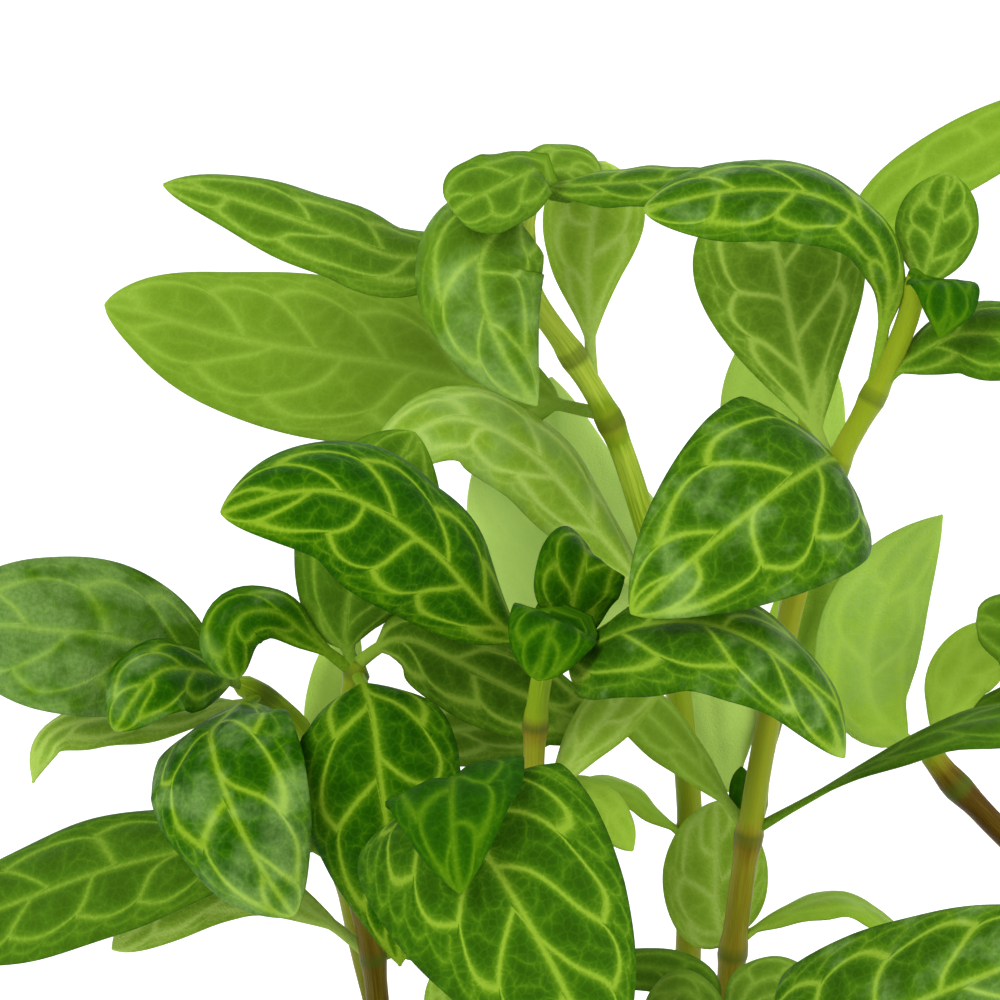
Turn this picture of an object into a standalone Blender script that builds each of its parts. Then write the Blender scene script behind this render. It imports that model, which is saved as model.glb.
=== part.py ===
"""Potted hygrophila: leafy stems standing in a plug of mineral wool, in a slotted plastic pot.

Lengths here are millimetres until a mesh is made, which is in metres. The pot's axis is the Z axis and its
foot stands on z = 0. What shows in the front view is given as it is seen there: how far across from the
pot's axis, how far up from the view's lower edge, and how far back from the pot's axis it lies. placed()
turns that into x, y, z.
"""

import math
import random
from itertools import product

import bmesh
import bpy
import numpy as np
from mathutils import Vector
from mathutils.bvhtree import BVHTree

MM = 0.001

# The front view: its downward slope, the eye's distance, the point that it looks at, half its height
VIEW_SLOPE = math.radians(15)
VIEW_DISTANCE = 400.0
VIEW_CENTRE = np.array((-6.1, -10.0, 125.0))
VIEW_HALF_HEIGHT = 43.5

# The pot
POT_HEIGHT = 50.0
POT_TOP_RADIUS = 25.0
POT_FOOT_RADIUS = 19.0
POT_WALL = 1.2
POT_FLOOR = 1.6
POT_SIDES = 48
RIM_REACH = 2.4
RIM_HEIGHT = 2.2
SLOTS_ROUND = 12
SLOT_WIDTH = 3.0
SLOT_ROWS = ((8.0, 23.0), (27.0, 42.0))
FLOOR_SLOTS = 6
FLOOR_SLOT_REACH = (7.0, 15.5)

# The mineral wool plug
GAP = 0.3
WOOL_TOP = 46.5
WOOL_SIDES = 32
HOLE_DEPTH = 26.0

# Leaves and stems
LEAF_THICKNESS = 0.65
PETIOLE_HALF_WIDTH = 0.6
PETIOLE_SHARE = 0.1
TIP_HALF_WIDTH = 0.3
STEM_SIDES = 6
STEM_STEP = 9.0
NODE_SWELL = 1.25
NODE_REACH = 2.2
STEM_CLEARANCE = 1.4
SEED = 7

# The pairs of leaves below the view: where they may grow, and the sizes and directions that are tried
HIDDEN_BELOW = -1.0
LOWEST_LEAF = 54.0
FIRST_PAIR = (9, 13)
PAIR_STEP = (11, 14)
PAIR_TURN = 0.3
HIGHEST_PAIR = 84
LEAF_LIFT = (0.2, 0.32)
LEAF_LENGTHS = (30, 26, 22, 18, 14)
LEAF_SWINGS = (0, 0.35, -0.35, 0.7, -0.7)
WIDTH_SHARE = 0.4


def placed(across, up, back):
    """The point that the front view shows there, lying that far back from the pot's axis."""
    forward = np.array((0.0, math.cos(VIEW_SLOPE), -math.sin(VIEW_SLOPE)))
    upward = np.array((0.0, math.sin(VIEW_SLOPE), math.cos(VIEW_SLOPE)))
    eye = VIEW_CENTRE - forward * VIEW_DISTANCE
    ray = forward * VIEW_DISTANCE + upward * (up - VIEW_HALF_HEIGHT)
    ray[0] += across - VIEW_CENTRE[0]
    return eye + ray * ((back - eye[1]) / ray[1])


def seen(point):
    """(across, up) of a point in the front view, the reverse of placed()."""
    forward = np.array((0.0, math.cos(VIEW_SLOPE), -math.sin(VIEW_SLOPE)))
    upward = np.array((0.0, math.sin(VIEW_SLOPE), math.cos(VIEW_SLOPE)))
    offset = np.asarray(point) - VIEW_CENTRE
    scale = VIEW_DISTANCE / (VIEW_DISTANCE + offset @ forward)
    return VIEW_CENTRE[0] + offset[0] * scale, VIEW_HALF_HEIGHT + (offset @ upward) * scale


def smooth_line(points, count):
    """count + 1 points, evenly spaced, on a smooth curve through the given points."""
    p = np.array(points, float)
    t = np.concatenate([[0.0], np.cumsum(np.linalg.norm(np.diff(p, axis=0), axis=1))])
    step = np.diff(p, axis=0) / np.diff(t)[:, None]
    slope = np.empty_like(p)
    slope[1:-1] = (p[2:] - p[:-2]) / (t[2:] - t[:-2])[:, None]
    slope[0] = (3 * step[0] - slope[1]) / 2 if len(p) > 2 else step[0]
    slope[-1] = (3 * step[-1] - slope[-2]) / 2 if len(p) > 2 else step[0]
    fine = []
    for i in range(len(p) - 1):
        h = t[i + 1] - t[i]
        u = np.linspace(0, 1, 25)[:, None]
        fine.append(
            (2 * u**3 - 3 * u**2 + 1) * p[i]
            + (u**3 - 2 * u**2 + u) * h * slope[i]
            + (3 * u**2 - 2 * u**3) * p[i + 1]
            + (u**3 - u**2) * h * slope[i + 1]
        )
    fine = np.concatenate(fine)
    run = np.concatenate([[0.0], np.cumsum(np.linalg.norm(np.diff(fine, axis=0), axis=1))])
    even = np.linspace(0, run[-1], count + 1)
    return np.stack([np.interp(even, run, fine[:, k]) for k in range(3)], axis=1)


# Stems, each with the place where it stands in the wool (x, y), its radius there and at its tip, the heights
# in the view of the nodes that show, and the points that its route passes (across, up, back).
STEMS = {
    "a": dict(root=(6, 1), radii=(1.25, 0.95), nodes=(4.2, 14.2, 46.3, 52.5),
              route=((12.2, -9, -1), (13.6, 0, -2), (15.2, 12, -3), (17, 23, -4), (19.5, 35, -5),
                     (23.2, 46.5, -5), (26.3, 52.4, -4), (28.5, 57, -4), (29.7, 60.5, -4), (29.9, 63.2, -4))),
    "b": dict(root=(-1, -8), radii=(1.05, 0.9), nodes=(2, 15.5, 24),
              route=((-2.2, -10, -10), (-2.4, 2, -11), (-3.2, 15, -12), (-3.0, 24, -12), (-2.4, 28.5, -12.5),
                     (-1.8, 31, -13))),
    "c": dict(root=(-9, 6), radii=(1.15, 0.9), nodes=(11, 26.5),
              route=((-14, -10, 4), (-17.6, 2, 3), (-19.6, 11, 2), (-20.8, 18, 1), (-23.4, 23.6, 0),
                     (-26.4, 26.2, -1.5), (-29.1, 27.7, -3))),
    "d": dict(root=(-7, -3), radii=(1.1, 0.95), nodes=(3.8, 10.3, 19, 28.5),
              route=((-12.5, -12, -4), (-16.2, -3, -5), (-17.2, 4, -5), (-18.5, 9.5, -6), (-19.8, 17.5, -6.5),
                     (-19.2, 25, -7), (-18.4, 29.3, -7))),
    "f": dict(root=(-5, -13), radii=(1.15, 0.95), nodes=(-7, 4, 18),
              route=((-7, -12, -17), (-9, 4, -20), (-10.4, 14, -21), (-10.4, 18.6, -22))),
    "s": dict(root=(5, 10), radii=(1.3, 1.0), nodes=(14, 33, 50.4, 56, 66),
              route=((9.4, -8, 10), (10.3, 5, 10), (10.4, 16, 10), (9.4, 27, 10), (8.2, 35, 10),
                     (6.4, 42, 9.5), (3.5, 50.3, 9), (0, 56.4, 8.5), (-3.4, 61.6, 8), (-4.2, 66.3, 8),
                     (-3.4, 70.4, 8))),
    "v": dict(root=(11, 11), radii=(1.1, 0.9), nodes=(17, 24, 36, 57),
              route=((13, -5, 14), (14.4, 5, 14), (15.4, 13, 14), (17.3, 24, 14), (19.2, 35, 14),
                     (20.5, 45, 14), (20.8, 57, 16))),
    "r": dict(root=(13, 2), radii=(1.25, 1.1), nodes=(5, 18.6),
              route=((17, -14, 4), (29, -9, 6), (38, -3, 7.5), (42.5, 4, 8), (41, 10.5, 9), (36, 16.2, 9),
                     (33, 19.3, 9), (31, 22, 9))),
    "g": dict(root=(8, -11), radii=(1.15, 0.9), nodes=(-6,),
              route=((10.5, -22, -14), (12.7, -12, -18), (13.6, -4, -20))),
}


def stem_line(name):
    """The stem's route from its foot in the wool to its tip, in steps of about 1 mm."""
    x, y = STEMS[name]["root"]
    foot = WOOL_TOP - HOLE_DEPTH + GAP
    points = [(x, y, foot), (x, y, (foot + WOOL_TOP) / 2), (x, y, WOOL_TOP), (x, y, WOOL_TOP + 2.5)]
    points += [placed(*p) for p in STEMS[name]["route"]]
    length = sum(math.dist(a, b) for a, b in zip(points, points[1:]))
    return smooth_line(points, round(length))


def on_stem(name, up):
    """The point on a stem's route that shows at that height in the front view."""
    line = stem_line(name)
    heights = np.array([seen(p)[1] for p in line])
    return line[np.abs(heights - up).argmin()]


def facing(tilt, lean=0):
    """The way a blade's upper face looks: up, tilted to the viewer, then leant to the right, in degrees."""
    a, b = math.radians(tilt), math.radians(lean)
    return np.array((math.sin(b), -math.sin(a) * math.cos(b), math.cos(a) * math.cos(b)))


def leaf(stem, attach, *spine, width, tilt, lean=0, base=0.9, tip=0.7, curl=25, fine=False):
    """A leaf seen in the front view: it leaves its stem at the height attach and its midrib passes the
    spine's points. base and tip shape its outline: small for a round end, large for one drawn out."""
    return dict(
        stem=stem,
        spine=[on_stem(stem, attach)] + [placed(*p) for p in spine],
        width=width,
        face=facing(tilt, lean),
        base=base,
        tip=tip,
        curl=math.radians(curl),
        fine=fine,
    )


def seen_leaves():
    """The leaves that the front view shows, by name."""
    return {
        "a_right": leaf("a", 14.2, (19.5, 16.8, -3.5), (26, 20.5, -4.5), (34, 24.1, -6), (47, 25.5, -8),
                        width=9, tilt=8, base=1.8),
        "a_left": leaf("a", 14.6, (12.9, 18.2, -2), (10, 21.6, -1.5), (6.5, 25.2, -1), (2.5, 29.5, 0),
                       width=6, tilt=35, base=1.2),
        "a_front": leaf("a", 46.3, (22.8, 47, -10), (21.6, 46.6, -15.5), (17.8, 44.1, -19.5),
                        (11.4, 39, -21.5), (5.3, 33.6, -22),
                        width=18.6, tilt=28, lean=38, base=0.42, tip=0.76, fine=True),
        "a_back": leaf("a", 46.0, (21.5, 49.5, -2), (20.6, 53, 0), (19.4, 58, 1.5), (18.2, 64, 3),
                       (16.6, 71.5, 3), width=15.4, tilt=75, base=1.5, curl=10, fine=True),
        "a_arch": leaf("a", 52.6, (27.2, 58, -4), (27.7, 62.8, -5), (26, 67, -6), (21.5, 70, -7),
                       (14.5, 70.5, -8), (6.4, 68.6, -9), width=10.5, tilt=35, base=1.5, curl=35, fine=True),
        "a_far": leaf("a", 53.4, (29.6, 55.7, -4.5), (34.5, 58, -6), (46, 56.3, -9), width=9, tilt=40),
        "a_young_up": leaf("a", 61, (30.9, 63.5, -2.5), (31.9, 67, -0.5), (33, 72, 0.5), width=7.5, tilt=80),
        "a_young_down": leaf("a", 63, (31.3, 62.6, -6.5), (32.7, 62.3, -8.8), (32.9, 60.6, -9.9),
                             (32.1, 57.6, -10.2), width=6.6, tilt=35, lean=20, base=0.8, tip=1.0, curl=8),
        "a_low_back": leaf("a", 4, (12.8, 7, 1), (12.7, 12, 2.5), (12.7, 17.3, 3),
                           width=10, tilt=75, base=0.6),
        "a_low_right": leaf("a", 4.4, (19, 7.8, -1.5), (24, 8.9, -1), (29.5, 5.4, -1), width=7, tilt=0),
        "a_bud": leaf("a", 14, (15, 17, -1), (14.9, 20.3, -0.5), width=2.4, tilt=70),
        "b_left": leaf("b", 29.5, (-6.5, 33, -14), (-12.5, 39.6, -17), (-21, 44.3, -19.5), (-30.4, 42.3, -21),
                       width=14.5, tilt=46, base=0.75, curl=38, fine=True),
        "b_right": leaf("b", 28.8, (0.8, 30.2, -14.5), (5.6, 32.5, -17), (11.5, 32.9, -18.5),
                        (17.2, 30.6, -19.5), (21.6, 26.2, -19.5), (23.8, 21.1, -19),
                        width=14.8, tilt=24, base=0.32, curl=38, fine=True),
        "b_young_front": leaf("b", 30, (-1.1, 32.6, -15), (-1.2, 33, -17), (-1.9, 31.4, -18.6),
                              (-2.8, 27.8, -19.2), width=8, tilt=40, lean=8, base=0.5, tip=0.6, curl=10),
        "b_young_back": leaf("b", 30, (-0.2, 33, -12.5), (0.6, 36, -12), (1.5, 38.8, -10.5), (2, 38.6, -7.5),
                             width=8, tilt=45, lean=18, base=0.75, tip=0.6, curl=8),
        "b_mid_right": leaf("b", 15.5, (0.8, 21.8, -10), (4, 25.6, -8.5), (8, 30.5, -8),
                            width=5.5, tilt=70, base=1.3),
        "b_mid_low": leaf("b", 15.5, (0.5, 18, -9), (3, 16.7, -7.5), (5.4, 13, -6.5), width=4.6, tilt=45),
        "b_curl": leaf("b", 2, (4, 2.8, -13), (8, 2.7, -14.5), (11.3, 1.6, -15.5), (12.4, -1.5, -16),
                       width=4.5, tilt=45),
        "c_left": leaf("c", 27.2, (-34, 29.8, -4), (-40, 31.6, -5), (-46, 32.3, -6), (-56, 33.3, -7),
                       width=15, tilt=60, base=0.65, fine=True),
        "c_small": leaf("c", 27.5, (-32.2, 28.7, -6), (-36, 28.4, -9.5), (-39.6, 23.4, -13),
                        width=8.6, tilt=45, base=0.65, curl=35, fine=True),
        "c_front": leaf("c", 26.5, (-31, 23.8, -11), (-31.1, 21.6, -15.5), (-29.6, 17, -18.5),
                        (-27.2, 12, -20), (-24, 7.3, -20.5),
                        width=15.2, tilt=30, lean=-28, base=0.62, fine=True),
        "c_under": leaf("c", 26, (-34, 25.2, 0), (-41, 24.5, 2), (-45.2, 23, 3), (-46.7, 18.9, 3),
                        width=7, tilt=25, tip=1.0),
        "c_pale": leaf("c", 19, (-21.6, 23.8, 3), (-20.6, 27.5, 4), (-19, 33, 5), width=4.5, tilt=75),
        "d_up": leaf("d", 28.5, (-19.6, 32.6, -6), (-18.4, 38, -5), (-16.4, 44, -5), (-13.5, 49.4, -5),
                     width=13, tilt=75, base=0.7),
        "d_arch": leaf("d", 28.8, (-22.8, 31.6, -7), (-25.6, 33.7, -7.5), (-28.5, 33.5, -8.2),
                       (-29.7, 31.2, -9), (-28.9, 27.9, -9.4), width=6, tilt=50, base=1.2, tip=0.6),
        "d_front": leaf("d", 28.5, (-17.9, 27, -10.5), (-17.1, 24.5, -13.5), (-16.5, 19.5, -15.5),
                        (-15.6, 12.5, -16), (-14.8, 3, -14),
                        width=14.8, tilt=35, base=0.45, tip=0.9, fine=True),
        "d_right": leaf("d", 29, (-14.6, 31.4, -7), (-10, 29.6, -7), (-5, 27, -7), (4, 23, -7),
                        width=9, tilt=55, base=0.5),
        "d_mid": leaf("d", 19, (-15, 22.2, -4), (-9, 23.6, -2), (1, 24.8, 0), width=7, tilt=50),
        "d_low_left": leaf("d", 10.3, (-23, 13.6, -7), (-30, 13.6, -8), (-40, 11.5, -8.5), (-48, 8.6, -8.5),
                           (-58, 4.8, -8), width=12.5, tilt=42, fine=True),
        "d_lowest_left": leaf("d", 3.8, (-22, 7.4, -4.5), (-28, 9.9, -4), (-34, 8.6, -3.5),
                              (-39.8, 4.4, -3), width=6.6, tilt=55, base=1.2),
        "d_low_right": leaf("d", 3.8, (-14, 4.6, -3), (-9, 5.6, -2), (-3, 5, 0), width=5.5, tilt=50),
        "f_front": leaf("f", 18, (-10.9, 17.8, -26), (-10.2, 16.9, -30.5), (-7.2, 12.6, -34),
                        (-2.9, 5.5, -36), (3.5, -7, -37),
                        width=21, tilt=30, lean=-14, base=0.33, curl=18, fine=True),
        "f_young": leaf("f", 18.5, (-10.3, 19.4, -26.5), (-10.2, 19.2, -31.5), (-10.3, 17, -35),
                        (-10.1, 13.4, -37.5), (-9.5, 9.2, -38.5),
                        width=12.4, tilt=40, lean=-10, base=0.4, tip=0.85, curl=12, fine=True),
        "f_low": leaf("f", -7, (-9.8, -4, -18), (-11, -0.5, -17), (-11, 3.2, -16), width=3.6, tilt=60),
        "s_cascade": leaf("s", 67.5, (-5.3, 68, 4), (-7.8, 64.2, 1.5), (-6.8, 58.4, -0.5), (-2.9, 51.7, -1),
                          width=11.8, tilt=65, base=0.45, tip=0.85, fine=True),
        "s_top": leaf("s", 69.8, (-2.9, 72.2, 5.6), (-5.4, 71.1, 3.2), (-8.2, 69.8, 1.9), (-10.2, 68.6, 1.2),
                      width=8, tilt=50, base=0.75, tip=0.35, curl=15),
        "s_top_back": leaf("s", 69.8, (-3.6, 71.4, 8.5), (-1.4, 72.2, 9.5), (0.8, 72.1, 10.5),
                           (2.5, 70.6, 11), width=6.4, tilt=50, base=0.6, tip=0.6),
        "s_up": leaf("s", 53.5, (1.7, 58.5, 10), (1.6, 64.5, 12), (3, 73, 13), width=9.5, tilt=75, base=1.8),
        "s_left": leaf("s", 66, (-14.6, 64.6, 6.8), (-20, 66.5, 6), (-26, 68.6, 5), (-31, 70.2, 4.6),
                       (-35.4, 70.9, 4.5), width=8.6, tilt=45, base=0.55),
        "s_far_left": leaf("s", 50.5, (-6, 53, 14), (-14, 55, 17), (-22, 56.3, 19), (-30, 57.8, 21),
                           (-36.5, 59.7, 21.6), (-40.5, 60.5, 22),
                           width=16, tilt=65, base=0.7, tip=0.66, fine=True),
        "s_right": leaf("s", 70, (1.5, 70.9, 7), (7.5, 71.3, 6), (13.5, 71.7, 5.5),
                        width=5.8, tilt=28, base=0.7),
        "s_arch": leaf("s", 33, (3, 40, 9), (-3.5, 47.6, 7), (-10.5, 50.6, 5.5), (-17.6, 45.8, 3),
                       width=10.5, tilt=35),
        "s_pale": leaf("s", 34, (2.2, 37.4, 16), (-1.8, 43.6, 20), (-1.6, 54.2, 21),
                       width=18, tilt=75, base=0.5, tip=0.85),
        "s_low_left": leaf("s", 14, (7.4, 16.3, 9), (5.2, 18.1, 8.5), (2.5, 18.6, 8), (-2, 17.4, 7),
                           width=4.4, tilt=20),
        "v_up_right": leaf("v", 57, (23.5, 62.5, 18), (27.5, 69, 21), (34.5, 73.8, 24), (46, 79.6, 27),
                           width=6.8, tilt=65),
        "v_up": leaf("v", 36, (19, 42, 17), (18.6, 50, 18), (18.2, 60, 18.5), width=12, tilt=80),
        "v_pale": leaf("v", 17, (13.4, 20, 14), (12.4, 25, 13.8), (12, 31, 13.8), width=9, tilt=75),
        "v_mid_right": leaf("v", 24, (19.5, 28, 15), (22.5, 33.5, 17), (25, 38.8, 17.5), width=10.5, tilt=75),
        "r_left": leaf("r", 21.5, (27, 24.6, 10), (25.8, 29, 11), (27.5, 35.4, 12.5), (32.4, 42.2, 13),
                       width=10, tilt=70, base=0.7, tip=0.92),
        "r_up": leaf("r", 21.5, (32.7, 25.2, 8), (33.8, 28.1, 7.5), (35.7, 30.2, 7), (38, 31.8, 6.5),
                     width=6.4, tilt=60, tip=0.5),
        "r_right": leaf("r", 21.9, (35, 24.6, 8), (40.4, 26.2, 5.5), (41.6, 29.6, 3.6), (38.8, 32.2, 2.6),
                        (35.3, 32.8, 2), width=7.8, tilt=60, tip=0.4),
        "g_right": leaf("g", -6, (15, -5, -24), (17.5, -4.6, -28.5), (25, -2.2, -31), (35, 1.8, -32.5),
                        (47, 6.5, -32.5), width=18, tilt=50, lean=-20, base=0.5, fine=True),
        "g_back": leaf("g", -4, (15.5, 0.8, -17), (18, 2, -15.5), (22, 1.1, -15), width=5, tilt=40),
        "g_left": leaf("g", -6, (12, -1, -19), (9.7, 0.8, -19), (6.5, -2, -18), width=4.5, tilt=45),
    }


def half_widths(blade, share):
    """The blade's half width at these shares of its length, counted from the stem."""
    along = np.clip((share - PETIOLE_SHARE) / (1 - PETIOLE_SHARE), 0, 1)
    widest = blade["base"] / (blade["base"] + blade["tip"])
    shape = (along / widest) ** blade["base"] * ((1 - along) / (1 - widest)) ** blade["tip"]
    least = PETIOLE_HALF_WIDTH + (TIP_HALF_WIDTH - PETIOLE_HALF_WIDTH) * share
    return np.maximum(shape * blade["width"] / 2, least)


def blade_surface(blade, along, across):
    """Points and upward normals of the blade's middle surface, (along + 1) x (across + 1) x 3 each."""
    line = smooth_line(blade["spine"], along * 4)
    share = np.linspace(0, 1, along + 1)
    centre = line[::4]
    tangent = np.gradient(line, axis=0)[::4]
    tangent /= np.linalg.norm(tangent, axis=1)[:, None]
    normal = blade["face"] - (tangent @ blade["face"])[:, None] * tangent
    normal /= np.linalg.norm(normal, axis=1)[:, None]
    side = np.cross(normal, tangent)
    half = half_widths(blade, share)
    most = blade["curl"]
    turn = most * np.linspace(-1, 1, across + 1)
    reach = half[:, None] * np.sin(turn) / most
    drop = -half[:, None] * (1 - np.cos(turn)) / most
    points = centre[:, None] + side[:, None] * reach[..., None] + normal[:, None] * drop[..., None]
    up = normal[:, None] * np.cos(turn)[:, None] + side[:, None] * np.sin(turn)[:, None]
    return points, up


def blade_solid(blade):
    """Vertices and triangles of a leaf as a closed solid, split alike on both faces."""
    along, across = (8, 4) if blade["fine"] else (7, 2)
    middle, up = blade_surface(blade, along, across)
    columns = across + 1
    half = up * LEAF_THICKNESS / 2
    points = np.concatenate([(middle + half).reshape(-1, 3), (middle - half).reshape(-1, 3)])
    under = (along + 1) * columns
    faces = []
    for i in range(along):
        for j in range(across):
            a, b = i * columns + j, (i + 1) * columns + j
            faces += [(a, b, b + 1), (a, b + 1, a + 1)]
            faces += [(under + b + 1, under + b, under + a), (under + a + 1, under + b + 1, under + a)]
        a, b = i * columns, (i + 1) * columns
        faces += [(a, under + a, under + b), (a, under + b, b)]
        a, b = a + across, b + across
        faces += [(a, b, under + b), (a, under + b, under + a)]
    for a in range(across):
        b = along * columns + a
        faces += [(a, a + 1, under + a + 1), (a, under + a + 1, under + a)]
        faces += [(b, under + b, under + b + 1), (b, under + b + 1, b + 1)]
    return points, faces


def stem_radius(name, line, index):
    """The stem's radius at a point of its line, thicker at a node."""
    thick, thin = STEMS[name]["radii"]
    radius = thick + (thin - thick) * index / (len(line) - 1)
    up = seen(line[index])[1]
    near = min(abs(up - node) for node in STEMS[name]["nodes"])
    return radius * (1 + (NODE_SWELL - 1) * max(0.0, 1 - near / NODE_REACH))


def stem_solid(name):
    """Vertices and triangles of a stem as a closed tube."""
    line = stem_line(name)
    ups = np.array([seen(p)[1] for p in line])
    stops = set(np.linspace(0, len(line) - 1, round(len(line) / STEM_STEP) + 1).round().astype(int))
    for node in STEMS[name]["nodes"]:
        middle = int(np.abs(ups - node).argmin())
        stops = {k for k in stops if abs(k - middle) > 3 or k in (0, len(line) - 1)}
        stops |= {k for k in (middle - 2, middle, middle + 2) if 0 < k < len(line) - 1}
    stops = sorted(stops)
    tangent = np.gradient(line, axis=0)
    side = np.array((1.0, 0.0, 0.0))
    points, faces = [], []
    for k in stops:
        t = tangent[k] / np.linalg.norm(tangent[k])
        side = side - (side @ t) * t
        side /= np.linalg.norm(side)
        other = np.cross(t, side)
        radius = stem_radius(name, line, k)
        for j in range(STEM_SIDES):
            turn = 2 * math.pi * j / STEM_SIDES
            points.append(line[k] + radius * (math.cos(turn) * side + math.sin(turn) * other))
    n = STEM_SIDES
    for i in range(len(stops) - 1):
        for j in range(n):
            a, b = i * n + j, i * n + (j + 1) % n
            faces += [(a, b, b + n), (a, b + n, a + n)]
    last = (len(stops) - 1) * n
    for j in range(1, n - 1):
        faces += [(0, j + 1, j), (last, last + j, last + j + 1)]
    return np.array(points), faces


def grown_leaf(stem, start, turn, length, lift):
    """A leaf below the view: it leaves the stem in the direction turn, rises by lift and arches over."""
    out = np.array((math.cos(turn), math.sin(turn), 0.0))
    steps = ((0.3, lift), (0.65, lift * 1.25), (0.95, lift * 0.8))
    spine = [start] + [start + out * length * a + np.array((0, 0, length * b)) for a, b in steps]
    return dict(
        stem=stem, spine=spine, width=length * WIDTH_SHARE, face=np.array((0.0, 0.0, 1.0)) - 0.2 * out,
        base=0.8, tip=0.7, curl=math.radians(25), fine=False,
    )


def clear_of(blade, trees, own):
    """Whether a leaf keeps its distance from everything grown so far, its own stem's foot of leaf aside."""
    middle, _ = blade_surface(blade, 12, 4)
    for i, row in enumerate(middle):
        for point in row:
            if seen(point)[1] > HIDDEN_BELOW or point[2] < LOWEST_LEAF:
                return False
            for name, tree in trees:
                if name == own and i < 4:
                    continue
                if tree.find_nearest(Vector(point), STEM_CLEARANCE)[0] is not None:
                    return False
    return True


def tree_of(solid):
    points, faces = solid
    return BVHTree.FromPolygons([Vector(p) for p in points], faces)


def grown_leaves(leaves):
    """Pairs of leaves below the view, each a quarter turn from the last, where there is room for them."""
    rng = random.Random(SEED)
    trees = [(name, tree_of(stem_solid(name))) for name in STEMS]
    trees += [(blade["stem"], tree_of(blade_solid(blade))) for blade in leaves.values()]
    grown = {}
    for name in STEMS:
        line = stem_line(name)
        turn = rng.uniform(0, math.pi)
        height = WOOL_TOP + rng.uniform(*FIRST_PAIR)
        number = 0
        while height < HIGHEST_PAIR:
            start = line[np.abs(line[:, 2] - height).argmin()]
            lift = rng.uniform(*LEAF_LIFT)
            for side in (0, math.pi):
                for size, swing in product(LEAF_LENGTHS, LEAF_SWINGS):
                    blade = grown_leaf(name, start, turn + side + swing, size, lift)
                    if clear_of(blade, trees, name):
                        number += 1
                        grown[f"{name}_grown_{number}"] = blade
                        trees.append((name, tree_of(blade_solid(blade))))
                        break
            turn += math.pi / 2 + rng.uniform(-PAIR_TURN, PAIR_TURN)
            height += rng.uniform(*PAIR_STEP)
    return grown


def mesh_object(name, points, faces, collection):
    """An object made of a solid that is given in millimetres."""
    mesh = bpy.data.meshes.new(name)
    mesh.from_pydata([tuple(p * MM) for p in np.asarray(points)], [], faces)
    obj = bpy.data.objects.new(name, mesh)
    collection.objects.link(obj)
    return obj


def turned(profile, sides):
    """Vertices and faces of a closed profile, as (radius, height) points, turned round the Z axis."""
    points, faces = [], []
    n = len(profile)
    for k in range(sides):
        turn = 2 * math.pi * k / sides
        points += [(r * math.cos(turn), r * math.sin(turn), z) for r, z in profile]
    for k in range(sides):
        a, b = k * n, (k + 1) % sides * n
        faces += [(a + i, b + i, b + (i + 1) % n, a + (i + 1) % n) for i in range(n)]
    return np.array(points), faces


def disc_body(rings, sides):
    """Vertices and faces of a solid given by the (radius, height) of its edges, from the lowest up."""
    points = [
        (r * math.cos(2 * math.pi * k / sides), r * math.sin(2 * math.pi * k / sides), z)
        for r, z in rings for k in range(sides)
    ]
    faces = [tuple(range(sides - 1, -1, -1)), tuple(range((len(rings) - 1) * sides, len(rings) * sides))]
    for i in range(len(rings) - 1):
        for k in range(sides):
            a, b = i * sides + k, i * sides + (k + 1) % sides
            faces.append((a, b, b + sides, a + sides))
    return np.array(points), faces


def block(name, size, centre, turn, collection):
    """A cutter: a box of that size, centred there and then turned round the Z axis."""
    x, y, z = (0.5 * v for v in size)
    corners = [(sx * x, sy * y, sz * z) for sx in (-1, 1) for sy in (-1, 1) for sz in (-1, 1)]
    c, s = math.cos(turn), math.sin(turn)
    points = []
    for corner in corners:
        px, py, pz = (a + b for a, b in zip(corner, centre))
        points.append((c * px - s * py, s * px + c * py, pz))
    faces = [(0, 1, 3, 2), (4, 6, 7, 5), (0, 4, 5, 1), (2, 3, 7, 6), (0, 2, 6, 4), (1, 5, 7, 3)]
    return mesh_object(name, np.array(points), faces, collection)


def combined(body, collection, operation):
    """The body joined with, or cut by, everything in the collection, which is then removed."""
    change = body.modifiers.new(operation.lower(), "BOOLEAN")
    change.operation = operation
    change.operand_type = "COLLECTION"
    change.collection = collection
    change.solver = "MANIFOLD"
    bpy.context.view_layer.update()
    result = bpy.data.meshes.new_from_object(body.evaluated_get(bpy.context.evaluated_depsgraph_get()))
    body.modifiers.clear()
    body.data = result
    result.name = body.name
    for obj in list(collection.objects):
        bpy.data.objects.remove(obj, do_unlink=True)
    bpy.data.collections.remove(collection)


def helper_collection(name):
    collection = bpy.data.collections.new(name)
    bpy.context.scene.collection.children.link(collection)
    return collection


def pot_radius(z):
    return POT_FOOT_RADIUS + (POT_TOP_RADIUS - POT_FOOT_RADIUS) * z / POT_HEIGHT


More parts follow.
